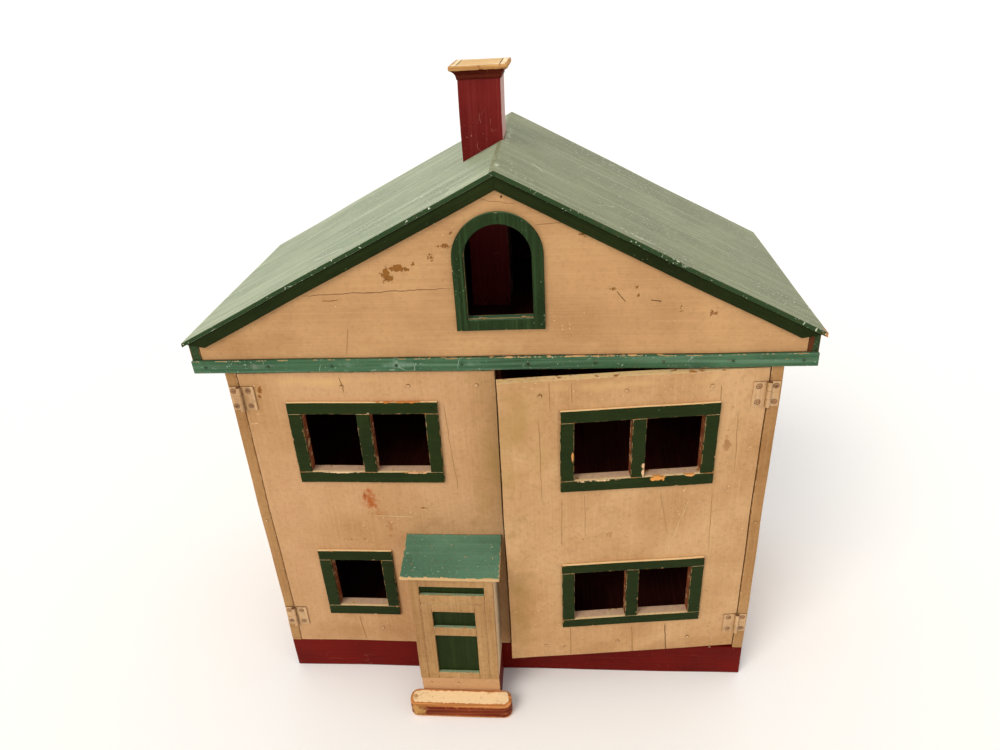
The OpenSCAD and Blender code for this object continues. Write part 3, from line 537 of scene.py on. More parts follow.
# the up-facing tops of the window frames are cream paint, painted paler as a highlight from above
sash_green = painted("dark_green_oil_paint", "#212d0f", shade="#1b260c", pale="#2f3f1c", streak=0.2,
                     grime=0.05, flecks=0.3, fleck="#5d7850", chips=0.80, edge=0.27, grit=6.0,
                     under="#cf8a45", rim="#e3c594", faces=[(UP, "#eccb98", 1.0)], rough=0.42,
                     marks=[blot((-100, 426), (36, 2.4), 9, 0.80, 0.05, "#c9803f"),
                            blot((-100, 330), (22, 2.6), 7, 0.72, 0.05, "#dca878"),
                            blot((-190, 331), (30, 2.2), 7, 0.70, 0.05, "#e2c096"),
                            blot((174, 331), (8, 4), 5, 0.85, 0.05, "#d9924a"),
                            blot((212, 333), (8, 2.2), 5, 0.80, 0.05, "#d99a5c"),
                            blot((112, 333), (30, 1.8), 6, 0.70, 0.05, "#dcb88c"),
                            blot((159, 342), (2.4, 13), 5, 0.74, 0.05, "#dcb488"),
                            blot((81, 367), (1.5, 11), 5, 0.74, 0.05, "#cf8f52"),
                            blot((-143, 375), (2.2, 26), 5, 0.70, 0.05, "#dcb07c"),
                            blot((-83, 378), (2.2, 26), 5, 0.70, 0.05, "#dcb07c")])
sash_nail_green = painted("dark_green_oil_paint_on_nails", "#223010", shade="#182209", pale="#3a5020",
                          edge=0.05)
panel_green = painted("dark_green_oil_paint_panel", "#212d10", shade="#19240b", pale="#30401b",
                      brush=UP, streak=0.4, grime=0.05, flecks=0.3, fleck="#48663f",
                      chips=0.92, edge=0.1, rough=0.42)
porch_roof_green = painted("sea_green_oil_paint", "#5c8268", shade="#4a6d56", pale="#7c9f84",
                           streak=0.18, stroke_w=5.0, grime=0.3, flecks=0.9, fleck="#98b29a",
                           hairs=0.4, chips=0.72, edge=0.36, grit=5.0, under="#d2ad79",
                           faces=[((0, -1, -0.2), "#cfa978", 1.0), (RIGHT, "#c9a473", 0.9),
                                  (LEFT, "#c9a473", 0.9)])
maroon = painted("maroon_oil_paint", "#680d06", shade="#560904", pale="#7a1a10", streak=0.25,
                 grime=0.05, flecks=0.3, fleck="#a2604a", hairs=0.25, chips=0.88, edge=0.2, rough=0.42)
chimney_maroon = painted("maroon_oil_paint_chimney", "#741f1d", shade="#611614", pale="#8b3430",
                         brush=UP, streak=0.3, grime=0.04, flecks=0.6, fleck="#a8665e",
                         hairs=0.5, chips=0.86, edge=0.28, under="#c08d84", rim="#a9655c", rough=0.42,
                         faces=[(RIGHT, "#c39a92", 0.75)],
                         marks=[crack((-15, 704), (-14, 692), 0.35, 2.0, "#a56058"),
                                crack((-3, 697), (-3, 690), 0.3, 2.0, "#a56058"),
                                blot((-16, 694), (12, 18), 3, 0.50, 0.2, "#96504a", 0.1),
                                blot((0, 684), (14, 8), 3, 0.54, 0.2, "#a5645c", 0.1)])
print("greens and reds made")

# %% Inside colours, bare wood and metal
room_brown = painted("dark_brown_wood_stain", "#4a1f17", shade="#331410", pale="#653126",
                     brush=BACK, streak=0.4, grime=0.1, chips=0.9, edge=0.1, rough=0.6)
reveal = painted("bare_sawn_edge", "#86442a", shade="#6a331f", pale="#ad6e41", brush=BACK,
                 streak=0.6, grime=0.3, chips=0.82, edge=0.2, rough=0.7, under="#d08a4c",
                 faces=[(UP, "#cfab8c", 0.95)])
bare_board = painted("worn_bare_softwood", "#a8743f", shade="#87592d", pale="#c39459",
                     brush=UP, streak=0.6, grime=0.3, chips=0.9, edge=0.1, rough=0.7)
step_wood = painted("maroon_oil_paint_worn_off", "#742b14", shade="#56190c", pale="#a05a34",
                    under="#e8a061", rim="#c9733a", streak=0.7, grime=0.15, chips=0.70, edge=0.36,
                    soft=0.12, grit=5.0, rough=0.6, flecks=0.6, fleck="#b98458", hairs=0.5,
                    faces=[(UP, "#fbdcab", 1.0)],
                    marks=[blot((-118, 14), (20, 12), 9, 0.80, 0.2, "#b8894f", 0.2),
                           blot((-60, 6), (60, 3), 5, 0.55, 0.2, "#a8542c", 0.2)])
base_maroon = painted("maroon_oil_paint_base", "#6b150c", shade="#541009", pale="#83402f",
                      grime=0.2, chips=0.84, edge=0.24, faces=[(FRONT, "#c3976c", 1.0)])
post_cream = painted("cream_oil_paint_posts", "#ae8456", shade="#996f43", pale="#c79e70",
                     brush=UP, streak=0.18, grime=0.35, chips=0.84, under="#c98f52",
                     rim="#d9ba8c")
nail_cream = painted("cream_oil_paint_on_nails", "#d2aa7b", shade="#b38a5c", pale="#e0bf93",
                     chips=0.62, edge=0.3, grit=6.0, under="#7d5330", rim="#a57a4c")
print("materials", len(bpy.data.materials))

# %% [markdown]
# ## How a hand-made board differs from a box
# Sawn and planed boards are never quite straight, and paint rounds their edges. Every point of the
# house is moved by one slow field of sine waves, so boards that touch stay together while every line
# of the house wanders by a third of a millimetre. The right door stands ajar, so it is worked out shut
# and then swung about its pin.

# %% Unevenness and the door's swing
right_hinge = next(joint for joint in frame["joints"] if joint["name"] == "right_door_hinge")
ajar = math.radians(-right_hinge["range_deg"][0])
pin = np.array(right_hinge["pos_m"])


def swung(points, angle):
    """Points turned about the right door's pin: x' = c x - s y and y' = s x + c y, from the pin."""
    c, s = math.cos(angle), math.sin(angle)
    return (points - pin) @ np.array([[c, s, 0], [-s, c, 0], [0, 0, 1]]) + pin


def uneven(points):
    """Adds slow sine waves over place, of 0.2 to 0.35 mm, with wavelengths of 120 to 400 mm."""
    x, y, z = (points / MM).T
    dx = 0.35 * np.sin(z / 41 + y / 53) + 0.18 * np.sin(z / 17 + 1.3)
    dy = 0.22 * np.sin(x / 37 + z / 49 + 0.7)
    dz = 0.32 * np.sin(x / 43 + y / 61 + 2.1) + 0.16 * np.sin(x / 19)
    return points + MM * np.stack([dx, dy, dz], -1)


def body_name(node):
    """The name of the body that a CAD node rides on."""
    return frame["nodes"][node].parent.name.split(":")[1]


def solids(node):
    """The box round each separate solid of a node, (n, 2, 3). A label spreads along the edges until
    each solid has one label of its own. The right door's nodes are measured as if it were shut."""
    mesh = frame["nodes"][node].data
    ends = np.empty(2 * len(mesh.edges), int)
    mesh.edges.foreach_get("vertices", ends)
    points, same = np.unique(points_of(node).round(6), axis=0, return_inverse=True)
    ends = same.ravel()[ends].reshape(-1, 2)
    if body_name(node) == "right_door":
        points = swung(points, -ajar)
    label = np.arange(len(points))
    settled = False
    while not settled:
        low = label[ends].min(1)
        spread = label.copy()
        np.minimum.at(spread, ends[:, 0], low)
        np.minimum.at(spread, ends[:, 1], low)
        settled = bool((spread == label).all())
        label = spread
    groups = [points[label == name] for name in np.unique(label)]
    return np.array([[group.min(0), group.max(0)] for group in groups])


print("ajar by", round(math.degrees(ajar), 2), "solids in the battens", len(solids("left_door_battens")))

# %% [markdown]
# ## Boards
# A board is one surface wrapped round a core. Across, its section is a rectangle whose corners are
# quarter circles. Along, that section is carried from end to end and shrinks over the last fraction of
# a millimetre, which rounds the ends too. The result is then stretched over eight given corners, so the
# same function makes a straight post and a slanted barge strip. Each point also gets its `wear`: 1 on
# the rounding and 0 a little way in, which is what the paint reads.

# %% The board surface
EDGE = 2.2 * MM
GRID = 14 * MM
QUARTER = np.radians([0, 30, 60, 90])


def grid_faces(rows, columns, closed=False):
    """The quads of a grid whose rows are loops. If closed, the last row joins the first, as in a tyre.
    If not, one face closes each end."""
    i, j = np.meshgrid(np.arange(rows if closed else rows - 1), np.arange(columns), indexing="ij")
    down, beside = (i + 1) % rows, (j + 1) % columns
    quads = np.stack([i * columns + j, i * columns + beside,
                      down * columns + beside, down * columns + j], -1)
    faces = quads.reshape(-1, 4).tolist()
    if not closed:
        loop = np.arange(columns)
        faces += [loop[::-1].tolist(), ((rows - 1) * columns + loop).tolist()]
    return faces


def spaced(length, step, edge=EDGE):
    """Places along a side of that length: one edge in from both ends, and about every step between."""
    if length < 3 * edge:
        return np.array([length / 2])
    return np.linspace(edge, length - edge, max(2, int(length / step) + 1))


def section(width, thick, radius, step):
    """A rectangle with quarter-circle corners: core points, the outward way at each, and its wear."""
    core = np.array([[radius, radius], [width - radius, radius],
                     [width - radius, thick - radius], [radius, thick - radius]])
    out = np.array([[0.0, -1.0], [1.0, 0.0], [0.0, 1.0], [-1.0, 0.0]])
    turn = QUARTER[:, None]
    cores, ways, wear = [], [], []
    for side in range(4):
        after = (side + 1) % 4
        run = np.linalg.norm(core[after] - core[side])
        share = (spaced(run, step) / run)[:, None]
        cores += [core[side] + share * (core[after] - core[side]), np.repeat(core[after][None], 4, 0)]
        ways += [np.repeat(out[side][None], len(share), 0),
                 np.cos(turn) * out[side] + np.sin(turn) * out[after]]
        wear += [np.zeros(len(share)), np.array([0.5, 1, 1, 0.5])]
    return np.vstack(cores), np.vstack(ways), np.concatenate(wear)


def board(corners, radius=0.9 * MM, step=GRID):
    """A rounded board stretched over corners[length, width, thickness]: each point is the mean of the
    eight corners, weighted by its place along, across and through. Returns points, faces and wear."""
    corners = np.asarray(corners, float)
    length = np.linalg.norm((corners[1] - corners[0]).mean((0, 1)))
    width = np.linalg.norm((corners[:, 1] - corners[:, 0]).mean((0, 1)))
    thick = np.linalg.norm((corners[:, :, 1] - corners[:, :, 0]).mean((0, 1)))
    radius = min(radius, 0.35 * thick)
    end = 0.7 * radius
    core, way, wear_round = section(width, thick, radius, step)
    start = end * (1 - np.cos(QUARTER))
    drawn_in = end * (1 - np.sin(QUARTER))
    middle = spaced(length, step, end + EDGE)
    along = np.concatenate([start, middle, length - start[::-1]])
    inset = np.concatenate([drawn_in, np.zeros(len(middle)), drawn_in[::-1]])
    wear_along = np.concatenate([[1, 1, 1, 0.5], np.zeros(len(middle)), [0.5, 1, 1, 1]])
    across = core[None] + (radius - inset)[:, None, None] * way[None]
    wear = np.maximum(wear_along[:, None], wear_round[None])
    # the flat ends: the end section drawn in by an edge, closed by one face
    half = np.array([width, thick]) / 2
    small = half + (across[0] - half) * np.maximum(1 - EDGE / half, 0.3)
    across = np.concatenate([small[None], across, small[None]])
    along = np.concatenate([[0], along, [length]])
    wear = np.vstack([np.zeros(len(core)), wear, np.zeros(len(core))])
    u = np.broadcast_to((along / length)[:, None], wear.shape)
    v, w = across[..., 0] / width, across[..., 1] / thick
    weight = [np.stack([1 - share, share]) for share in (u, v, w)]
    points = np.einsum("iab,jab,kab,ijkc->abc", *weight, corners)
    return points.reshape(-1, 3), grid_faces(*wear.shape), wear.ravel()


def block(low, high):
    """The eight corners of a box, its longest side first, then the middle one, then the shortest."""
    low, high = np.array(low), np.array(high)
    order = np.argsort(low - high)
    pick = np.stack(np.meshgrid([0, 1], [0, 1], [0, 1], indexing="ij"), -1)
    corners = np.empty((2, 2, 2, 3))
    corners[..., order] = low[order] + pick * (high - low)[order]
    return corners


print("a test board has", len(board(block((0, 0, 0), (0.1, 0.03, 0.01)))[0]), "points")

# %% [markdown]
# ## Putting a piece in the scene
# Every new piece goes through one function: it adds the unevenness, swings what belongs to the right
# door, makes the mesh, points its faces outwards, gives it its finish, puts it on the body it rides
# on and hides the boards it stands for. A second finish may cover the faces that look one way, such
# as the inside of a wall.


# %% Join and place
def joined(parts):
    """Several (points, faces, wear) as one: face numbers are raised by the points that came before."""
    points, faces, wear = [], [], []
    before = 0
    for part_points, part_faces, part_wear in parts:
        faces += [[number + before for number in face] for face in part_faces]
        points.append(part_points)
        wear.append(part_wear)
        before += len(part_points)
    return np.vstack(points), faces, np.concatenate(wear)


def place(name, shape, nodes, slot, finish, inner=None, bevel=0.0, body=None):
    """Makes a piece of points, faces and wear that stands for those nodes. inner is (way, finish)."""
    points, faces, wear = shape
    body = body or body_name(nodes[0])
    points = uneven(points)
    if body == "right_door":
        points = swung(points, ajar)
    mesh = bpy.data.meshes.new(name)
    mesh.from_pydata(points.tolist(), [], faces)
    mesh.attributes.new("wear", "FLOAT", "POINT").data.foreach_set("value", wear.astype(np.float32))
    raw = bmesh.new()
    raw.from_mesh(mesh)
    bmesh.ops.recalc_face_normals(raw, faces=raw.faces)
    raw.to_mesh(mesh)
    raw.free()
    mesh.materials.append(finish)
    if inner:
        mesh.materials.append(inner[1])
        normals = np.empty(3 * len(mesh.polygons))
        mesh.polygons.foreach_get("normal", normals)
        facing = normals.reshape(-1, 3) @ np.array(inner[0], float) > 0.7
        mesh.polygons.foreach_set("material_index", facing.astype(np.int32))
    mesh.shade_smooth()
    piece = bpy.data.objects.new(name, mesh)
    scene.collection.objects.link(piece)
    if bevel:
        rounding = piece.modifiers.new("rounding", "BEVEL")
        rounding.width = bevel
        rounding.segments = 2
        rounding.limit_method = "ANGLE"
        rounding.angle_limit = math.radians(50)
        rounding.harden_normals = True
    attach(piece, body)
    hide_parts(*nodes)
    return piece


def boards(node, slot, finish, inner=None, radius=0.9 * MM):
    """Every solid of a node as a rounded board, in one piece."""
    parts = [board(block(low, high), radius) for low, high in solids(node)]
    return place(node + "_boards", joined(parts), [node], slot, finish, inner)


def swap_finish(piece, chosen, finish):
    """Gives the chosen faces a further finish. recalc keeps the order of faces, so numbers hold."""
    mesh = piece.data
    mesh.materials.append(finish)
    index = np.empty(len(mesh.polygons), np.int32)
    mesh.polygons.foreach_get("material_index", index)
    index[chosen] = len(mesh.materials) - 1
    mesh.polygons.foreach_set("material_index", index)


print("helpers: joined, place, boards, swap_finish")

# %% [markdown]
# ## Plinth, floors and walls
# The house stands on a frame of four plinth boards. On it lie the floor and the side walls, and the
# attic floor closes the top. Outside the walls are cream, and inside everything is stained brown, so a
# wall's inner face has a second finish. These are straight boards, so each comes from its own box.

# %% Plinth
for node in ("plinth_front", "plinth_back", "plinth_left", "plinth_right"):
    boards(node, "maroon_paint", maroon, radius=1.6 * MM)
print("plinth boards placed")

# %% Floors, partitions and walls
for node in ("ground_floor", "middle_floor", "lower_partition", "upper_partition"):
    boards(node, "inside_brown_paint", room_brown)
boards("attic_floor", "inside_brown_paint", room_brown, (BACK, cream))
boards("left_wall", "cream_paint", cream, (RIGHT, room_brown))
boards("right_wall", "cream_paint", cream, (LEFT, room_brown))
boards("back_wall", "cream_paint", cream, (FRONT, room_brown))
for node in ("left_post", "right_post"):
    boards(node, "cream_paint", post_cream, (BACK, room_brown), 1.2 * MM)

# %% [markdown]
# ## The attic: gables, band and eaves
# The front gable is one wide board with an arched opening. Its face is a strip that runs round between
# two closed lines, the arch and the outline of the board, and then over the edges and back behind. That
# is a ring with the shape of a tyre, so it has no seam. The frame round the arch is the same ring with
# a wider arch as its outer line. Both lines are divided alike, so corners meet corners.

# %% Lines of the arch
member = 12 * MM
arch_r = (arch_high[0] - arch_low[0]) / 2 - member
arch_x = ridge[0]
arch_z = arch_high[2] - member - arch_r
arch_sill = arch_low[2] + member


def arch_line(margin):
    """The arch grown by a margin: sill, right side, half circle, left side, each evenly divided."""
    r = arch_r + margin
    sill = np.stack([np.linspace(-r, r, 14, endpoint=False), np.full(14, arch_sill - margin)], -1)
    up = np.stack([np.full(12, r), np.linspace(arch_sill - margin, arch_z, 12, endpoint=False)], -1)
    a = np.linspace(0, np.pi, 48, endpoint=False)
    bow = np.stack([r * np.cos(a), arch_z + r * np.sin(a)], -1)
    down = np.stack([np.full(12, -r), np.linspace(arch_z, arch_sill - margin, 12, endpoint=False)], -1)
    line = np.vstack([sill, up, bow, down])
    return line + [arch_x, 0]


def ring(inner, outer, y_front, y_back, radius, step=12 * MM):
    """A flat ring between two closed lines of (x, z). Its section goes in to out over the front face,
    round the outer edge, out to in behind, and round the inner edge; it is carried along the lines."""
    span = outer - inner
    width = np.linalg.norm(span, axis=-1)
    inside = np.linspace(0, 1, max(2, int(width.mean() / step)) + 1)[1:-1]
    # each row: mm in from the inner line, share of the width, mm behind the face, wear
    half = [(radius * (1 - math.cos(a)), 0.0, radius * (1 - math.sin(a)), 1.0) for a in QUARTER]
    half += [(radius + EDGE, 0.0, 0.0, 0.0)]
    half += [(0.0, share, 0.0, 0.0) for share in inside]
    half += [(-radius - EDGE, 1.0, 0.0, 0.0)]
    half += [(-radius * (1 - math.cos(a)), 1.0, radius * (1 - math.sin(a)), 1.0)
             for a in QUARTER[::-1]]
    front = np.array(half)
    back = front[::-1].copy()
    rows = np.vstack([front, back])
    offset = rows[:, None, 0] / width + rows[:, None, 1]
    flat = inner[None] + offset[..., None] * span[None]
    y = np.where(np.arange(len(rows)) < len(front), y_front + rows[:, 2], y_back - rows[:, 2])
    points = np.stack([flat[..., 0], np.broadcast_to(y[:, None], offset.shape), flat[..., 1]], -1)
    wear = np.broadcast_to(rows[:, None, 3], offset.shape)
    return points.reshape(-1, 3), grid_faces(*offset.shape, closed=True), wear.ravel()


print("arch radius", round(arch_r / MM, 2), "sill", round(arch_sill / MM, 1))

# %% Front gable
gable_low, gable_high = (np.array(corner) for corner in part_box("front_gable"))
gable_x, attic_z = gable_high[0], gable_low[2]
roof_seat = 0.02 * MM
under_roof = roof_t + roof_seat


def between(a, b, count):
    """Evenly divided points from a up to, but not with, b."""
    return np.linspace(a, b, count, endpoint=False)


shoulder_right = np.array([gable_x, roof_z(gable_x, under_roof)])
shoulder_left = np.array([-gable_x, roof_z(-gable_x, under_roof)])
peak = np.array([ridge[0], roof_z(ridge[0], under_roof)])
foot_right, foot_left = np.array([gable_x, attic_z]), np.array([-gable_x, attic_z])
outline = np.vstack([between(foot_left, foot_right, 14), between(foot_right, shoulder_right, 4),
                     between(shoulder_right, peak, 32), between(peak, shoulder_left, 32),
                     between(shoulder_left, foot_left, 4)])
gable_ring = ring(arch_line(0), outline, front_y, gable_high[1], 0.8 * MM)
gable = place("front_gable_board", gable_ring, ["front_gable"], "cream_paint", gable_cream,
              (BACK, room_brown))
rows = len(gable_ring[0]) // len(outline)
swap_finish(gable, slice((rows - 1) * len(outline), None), arch_green)
arch_ring = ring(arch_line(0), arch_line(member), arch_low[1], front_y, 0.8 * MM, 5 * MM)
place("arch_frame_ring", arch_ring, ["arch_frame"], "dark_green_paint", arch_green)
print("outline points", len(outline))

# %% Band, eave boards and barge strips
barge_w, barge_cut = 12.5 * MM, 20 * MM
boards("gable_band", "band_green_paint", band_green)


def sloped_block(node, depth_low, depth_high, cut=0.0):
    """The box of a node whose top follows the roof at depth_high, and its foot at depth_low if given.
    The foot of the outer end is drawn in by cut."""
    low, high = (np.array(corner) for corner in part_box(node))
    corners = block(low, high)
    x, z = corners[..., 0], corners[..., 2]
    top = z > (low[2] + high[2]) / 2
    outer = np.abs(x - ridge[0]) > (high[0] - low[0]) / 2
    x[~top & outer] -= np.sign(x[~top & outer]) * cut
    z[top] = roof_z(x[top], depth_high)
    if depth_low is not None:
        z[~top] = roof_z(x[~top], depth_low)
    return corners


for side in ("left", "right"):
    node = side + "_eave_board"
    way = RIGHT if side == "left" else LEFT
    shape = board(sloped_block(node, None, under_roof))
    place(node + "_board", shape, [node], "band_green_paint", eave_green, (way, room_brown))
    node = side + "_barge_strip"
    shape = board(sloped_block(node, roof_t + barge_w, under_roof, barge_cut))
    place(node + "_board", shape, [node], "dark_green_paint", barge_greens[side])
print("attic boards done")

# %% [markdown]
# ## Panels with openings
# The doors have window openings, and the roof panels are notched round the chimney. Such a panel is a
# grid of cells between two surfaces. Cells that lie in an opening are left out, and wherever a kept
# cell meets a left-out one a wall joins front to back. The grid lines include every edge of every
# opening, so openings are exact. A Bevel modifier then eases all the sharp edges at once.


# %% The panel surface
def grid_lines(cuts, step):
    """Sorted lines at every cut, one edge to either side of it, and about every step between."""
    cuts = np.unique(np.round(cuts, 7))
    runs = [a + spaced(b - a, step) for a, b in zip(cuts[:-1], cuts[1:])]
    return np.unique(np.concatenate([cuts, *runs]))


def panel(u, v, holes, front, back):
    """A panel over lines u and v without the cells in holes (u0, u1, v0, v1). front and back give the
    points of the two faces for grids of u and v. Wear is 1 on the rim. Also says which faces line a
    hole: those walls whose middle isn't on the outer border."""
    middle_u, middle_v = np.meshgrid((u[1:] + u[:-1]) / 2, (v[1:] + v[:-1]) / 2, indexing="ij")
    kept = np.ones(middle_u.shape, bool)
    for u0, u1, v0, v1 in holes:
        kept &= ~((middle_u > u0) & (middle_u < u1) & (middle_v > v0) & (middle_v < v1))
    n, m = len(u), len(v)
    grid_u, grid_v = np.meshgrid(u, v, indexing="ij")
    number = np.arange(n * m).reshape(n, m)
    points = np.vstack([front(grid_u, grid_v).reshape(-1, 3), back(grid_u, grid_v).reshape(-1, 3)])
    cell = np.stack([number[:-1, :-1], number[1:, :-1], number[1:, 1:], number[:-1, 1:]], -1)[kept]
    padded = np.pad(kept, 1)
    step_u = padded[1:, 1:-1] != padded[:-1, 1:-1]
    step_v = padded[1:-1, 1:] != padded[1:-1, :-1]
    i, j = np.nonzero(step_u)
    wall_u = np.stack([number[i, j], number[i, j + 1]], -1)
    i, j = np.nonzero(step_v)
    wall_v = np.stack([number[i, j], number[i + 1, j]], -1)
    rim = np.vstack([wall_u, wall_v])
    walls = np.concatenate([rim, rim[:, ::-1] + n * m], 1)
    wear = np.zeros(2 * n * m)
    wear[rim] = 1
    wear[rim + n * m] = 1
    flat_u, flat_v = grid_u.ravel(), grid_v.ravel()
    mid = np.stack([flat_u[rim].mean(1), flat_v[rim].mean(1)], -1)
    ends = np.array([[u[0], v[0]], [u[-1], v[-1]]])
    lines_hole = (np.abs(mid[:, None] - ends).min((1, 2)) > 1e-6)
    faces = np.concatenate([cell, cell[:, ::-1] + n * m, walls])
    hole_face = np.concatenate([np.zeros(2 * len(cell), bool), lines_hole])
    used, place_in = np.unique(faces, return_inverse=True)
    return (points[used], place_in.reshape(faces.shape).tolist(), wear[used]), hole_face


PANEL_BEVEL = 0.7 * MM
print("helpers: grid_lines, panel")

# %% Back gable
back_low, back_high = (np.array(corner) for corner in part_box("back_gable"))


def gable_face(y):
    """Points (x, y, z), where z runs from the attic floor at v = 0 to under the roof at v = 1."""
    return lambda x, v: np.stack([x, np.full(x.shape, y),
                                  attic_z + v * (roof_z(x, under_roof) - attic_z)], -1)


shape, _ = panel(grid_lines([-gable_x, ridge[0], gable_x], GRID), np.linspace(0, 1, 12), [],
                 gable_face(back_low[1]), gable_face(back_high[1]))
place("back_gable_board", shape, ["back_gable"], "cream_paint", cream, (FRONT, room_brown),
      PANEL_BEVEL)
print("back gable points", len(shape[0]))

# %% Doors
def window_lights(side):
    """Each opening as (x0, x1, z0, z1): between neighbouring stiles, from the low rail to the high."""
    openings = []
    for level_name in ("upper", "lower"):
        stiles = solids(f"{side}_{level_name}_stiles")
        stiles = stiles[np.argsort(stiles[:, 0, 0])]
        for a, b in zip(stiles[:-1], stiles[1:]):
            openings.append((a[1, 0], b[0, 0], a[0, 2], a[1, 2]))
    return openings


for side, finish in (("left", left_cream), ("right", right_cream)):
    node = side + "_door_panel"
    (low, high), = solids(node)
    lights = window_lights(side)
    u = grid_lines([low[0], high[0], *[x for light in lights for x in light[:2]]], GRID)
    v = grid_lines([low[2], high[2], *[z for light in lights for z in light[2:]]], GRID)
    shape, holes = panel(u, v, lights,
                         lambda x, z: np.stack([x, np.full(x.shape, low[1]), z], -1),
                         lambda x, z: np.stack([x, np.full(x.shape, high[1]), z], -1))
    door = place(node + "_board", shape, [node], "cream_paint", finish, (BACK, room_brown),
                 PANEL_BEVEL)
    swap_finish(door, holes, reveal)
    for level_name in ("upper", "lower"):
        for kind in ("rails", "stiles"):
            boards(f"{side}_{level_name}_{kind}", "dark_green_paint", sash_green, radius=0.6 * MM)
    boards(side + "_door_battens", "worn_wood", bare_board)
    print(side, "door lights", len(lights))

# %% [markdown]
# ## Roof
# Two thin panels lie on the gables. The right one laps over the end of the left one and is planed flush
# with the left slope, so the joint shows a little to the left of the ridge. Both are notched for the
# chimney. Each panel's upper and lower faces are straight lines from eave to ridge, given by a few
# stations that share one parameter.

# %% Roof panels
shaft_low, shaft_high = (np.array(corner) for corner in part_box("chimney_shaft"))
gap = 0.5 * MM
# about how many metres lie between eave and shaft, and a share just past the panel's upper end
EAVE_TO_SHAFT = 0.3
PAST_RIDGE = 1.01
lap = roof_t / math.sin(math.atan(left_slope) + math.atan(right_slope))
lap_x = ridge[0] - lap * math.cos(math.atan(left_slope))
crest_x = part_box("left_roof_panel")[1].x


def roof_face(stations, depth):
    """u from 0 to 1 runs through the stations' x values, and the height is the roof's at that depth."""
    shares = np.linspace(0, 1, len(stations))
    return lambda u, y: np.stack([np.interp(u, shares, stations), y,
                                  roof_z(np.interp(u, shares, stations), depth)], -1)


left_top = [-tip_x, shaft_low[0] - gap, lap_x]
left_under = [-tip_x, shaft_low[0] - gap, crest_x]
right_top = [tip_x, shaft_high[0] + gap, ridge[0], lap_x]
right_under = [tip_x, shaft_high[0] + gap, ridge[0] + 0.1 * MM, crest_x]
for side, top, under, finish in (("left", left_top, left_under, roof_green_left),
                                 ("right", right_top, right_under, roof_green_right)):
    node = side + "_roof_panel"
    low, high = (np.array(corner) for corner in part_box(node))
    shares = np.linspace(0, 1, len(top))
    main = np.linspace(0, shares[1], 26)
    edge_share = EDGE / EAVE_TO_SHAFT
    near_edge = [edge_share * shares[1], shares[1] * (1 - edge_share)]
    u = np.unique(np.round(np.concatenate([main, near_edge, shares]), 7))
    y_hole = (shaft_low[1] - gap, shaft_high[1] + gap)
    v = grid_lines([low[1], high[1], *y_hole], GRID)
    shape, holes = panel(u, v, [(shares[1], PAST_RIDGE, *y_hole)], roof_face(top, 0.0),
                         roof_face(under, roof_t))
    roof = place(node + "_board", shape, [node], "roof_green_paint", finish, bevel=0.8 * MM)
    print(side, "roof faces", len(roof.data.polygons))

# %% [markdown]
# ## Chimney
# A square post of maroon wood with a cove moulding mitred round its top. The moulding is one profile,
# carried round a rectangle: at each place of the profile the rectangle grows by the profile's reach.
# Its top is bare, and two dark lines show where the side mouldings butt against the post.

# %% Shaft and cap
cap_low, cap_high = (np.array(corner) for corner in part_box("cap_side_moulding"))
(left_x, front_edge), (right_x, back_edge) = shaft_low[:2] / MM, shaft_high[:2] / MM
far_front, far_back, cap_top = cap_low[1] / MM, cap_high[1] / MM, cap_high[2] / MM
JOINT = dict(width=0.7, sway=0.5, colour="#4a2c14")
joint_lines = [crack((x, far_front - 5, cap_top), (x, far_back + 5, cap_top), **JOINT)
               for x in (left_x, right_x)]
joint_lines += [crack((left_x - 2, y, cap_top), (right_x + 2, y, cap_top), **JOINT)
                for y in (front_edge, back_edge)]
shaft = board(block(shaft_low, shaft_high), 0.8 * MM)
top_wood = painted("bare_end_grain", "#f2cd96", shade="#dcae72", pale="#fbe0b4", streak=0.4, grime=0.2,
                   chips=0.95, rough=0.65, marks=joint_lines)
cap_wood = painted("worn_bare_cap_wood", "#5a1a10", shade="#43120b", pale="#7c3a22", under="#e6b373",
                   streak=0.5, grime=0.2, chips=0.72, edge=0.36, grit=5.0, rough=0.6,
                   rim="#c98a4c", faces=[(UP, "#ffe6b8", 1.0)], marks=joint_lines)
place("chimney_shaft_board", shaft, ["chimney_shaft"], "maroon_paint", chimney_maroon,
      (UP, top_wood))


def cap(low, high, foot_z, top_z, out, foot_out, lip):
    """The profile goes foot, cove (part of a circle, hollow side out), lip, top and down the inside;
    the rectangle low-high grows by its reach at each place. Corners are mitred."""
    rise = top_z - foot_z
    cove_r = rise - lip
    last = math.acos(1 - (out - foot_out) / cove_r)
    a = np.linspace(0, last, 9)
    reach = foot_out + cove_r * (1 - np.cos(a))
    height = foot_z + cove_r * np.sin(a)
    soft = 0.8 * MM
    profile = np.vstack([np.stack([reach, height], -1), [
        [out, foot_z + rise - lip + soft], [out, top_z - soft], [out - 0.3 * soft, top_z - 0.3 * soft],
        [out - soft, top_z], [out - soft - EDGE, top_z], [0.2 * MM, top_z], [0.2 * MM, foot_z]]])
    worn = np.array([0.0] * 8 + [0.8, 1, 1, 1, 1, 0.3, 0, 0])
    along = np.linspace(0, 1, 9)[:-1]
    signs = np.array([[-1, -1], [1, -1], [1, 1], [-1, 1]])
    middle = (low + high) / 2
    half = (high - low) / 2
    loops = []
    for reach_here, z in profile:
        rim = middle + signs * (half + reach_here)
        side_points = [rim[k] + along[:, None] * (rim[(k + 1) % 4] - rim[k]) for k in range(4)]
        loop = np.vstack(side_points)
        loops.append(np.column_stack([loop, np.full(len(loop), z)]))
    points = np.array(loops)
    n, m = points.shape[:2]
    return points.reshape(-1, 3), grid_faces(n, m, closed=True), np.repeat(worn, m)


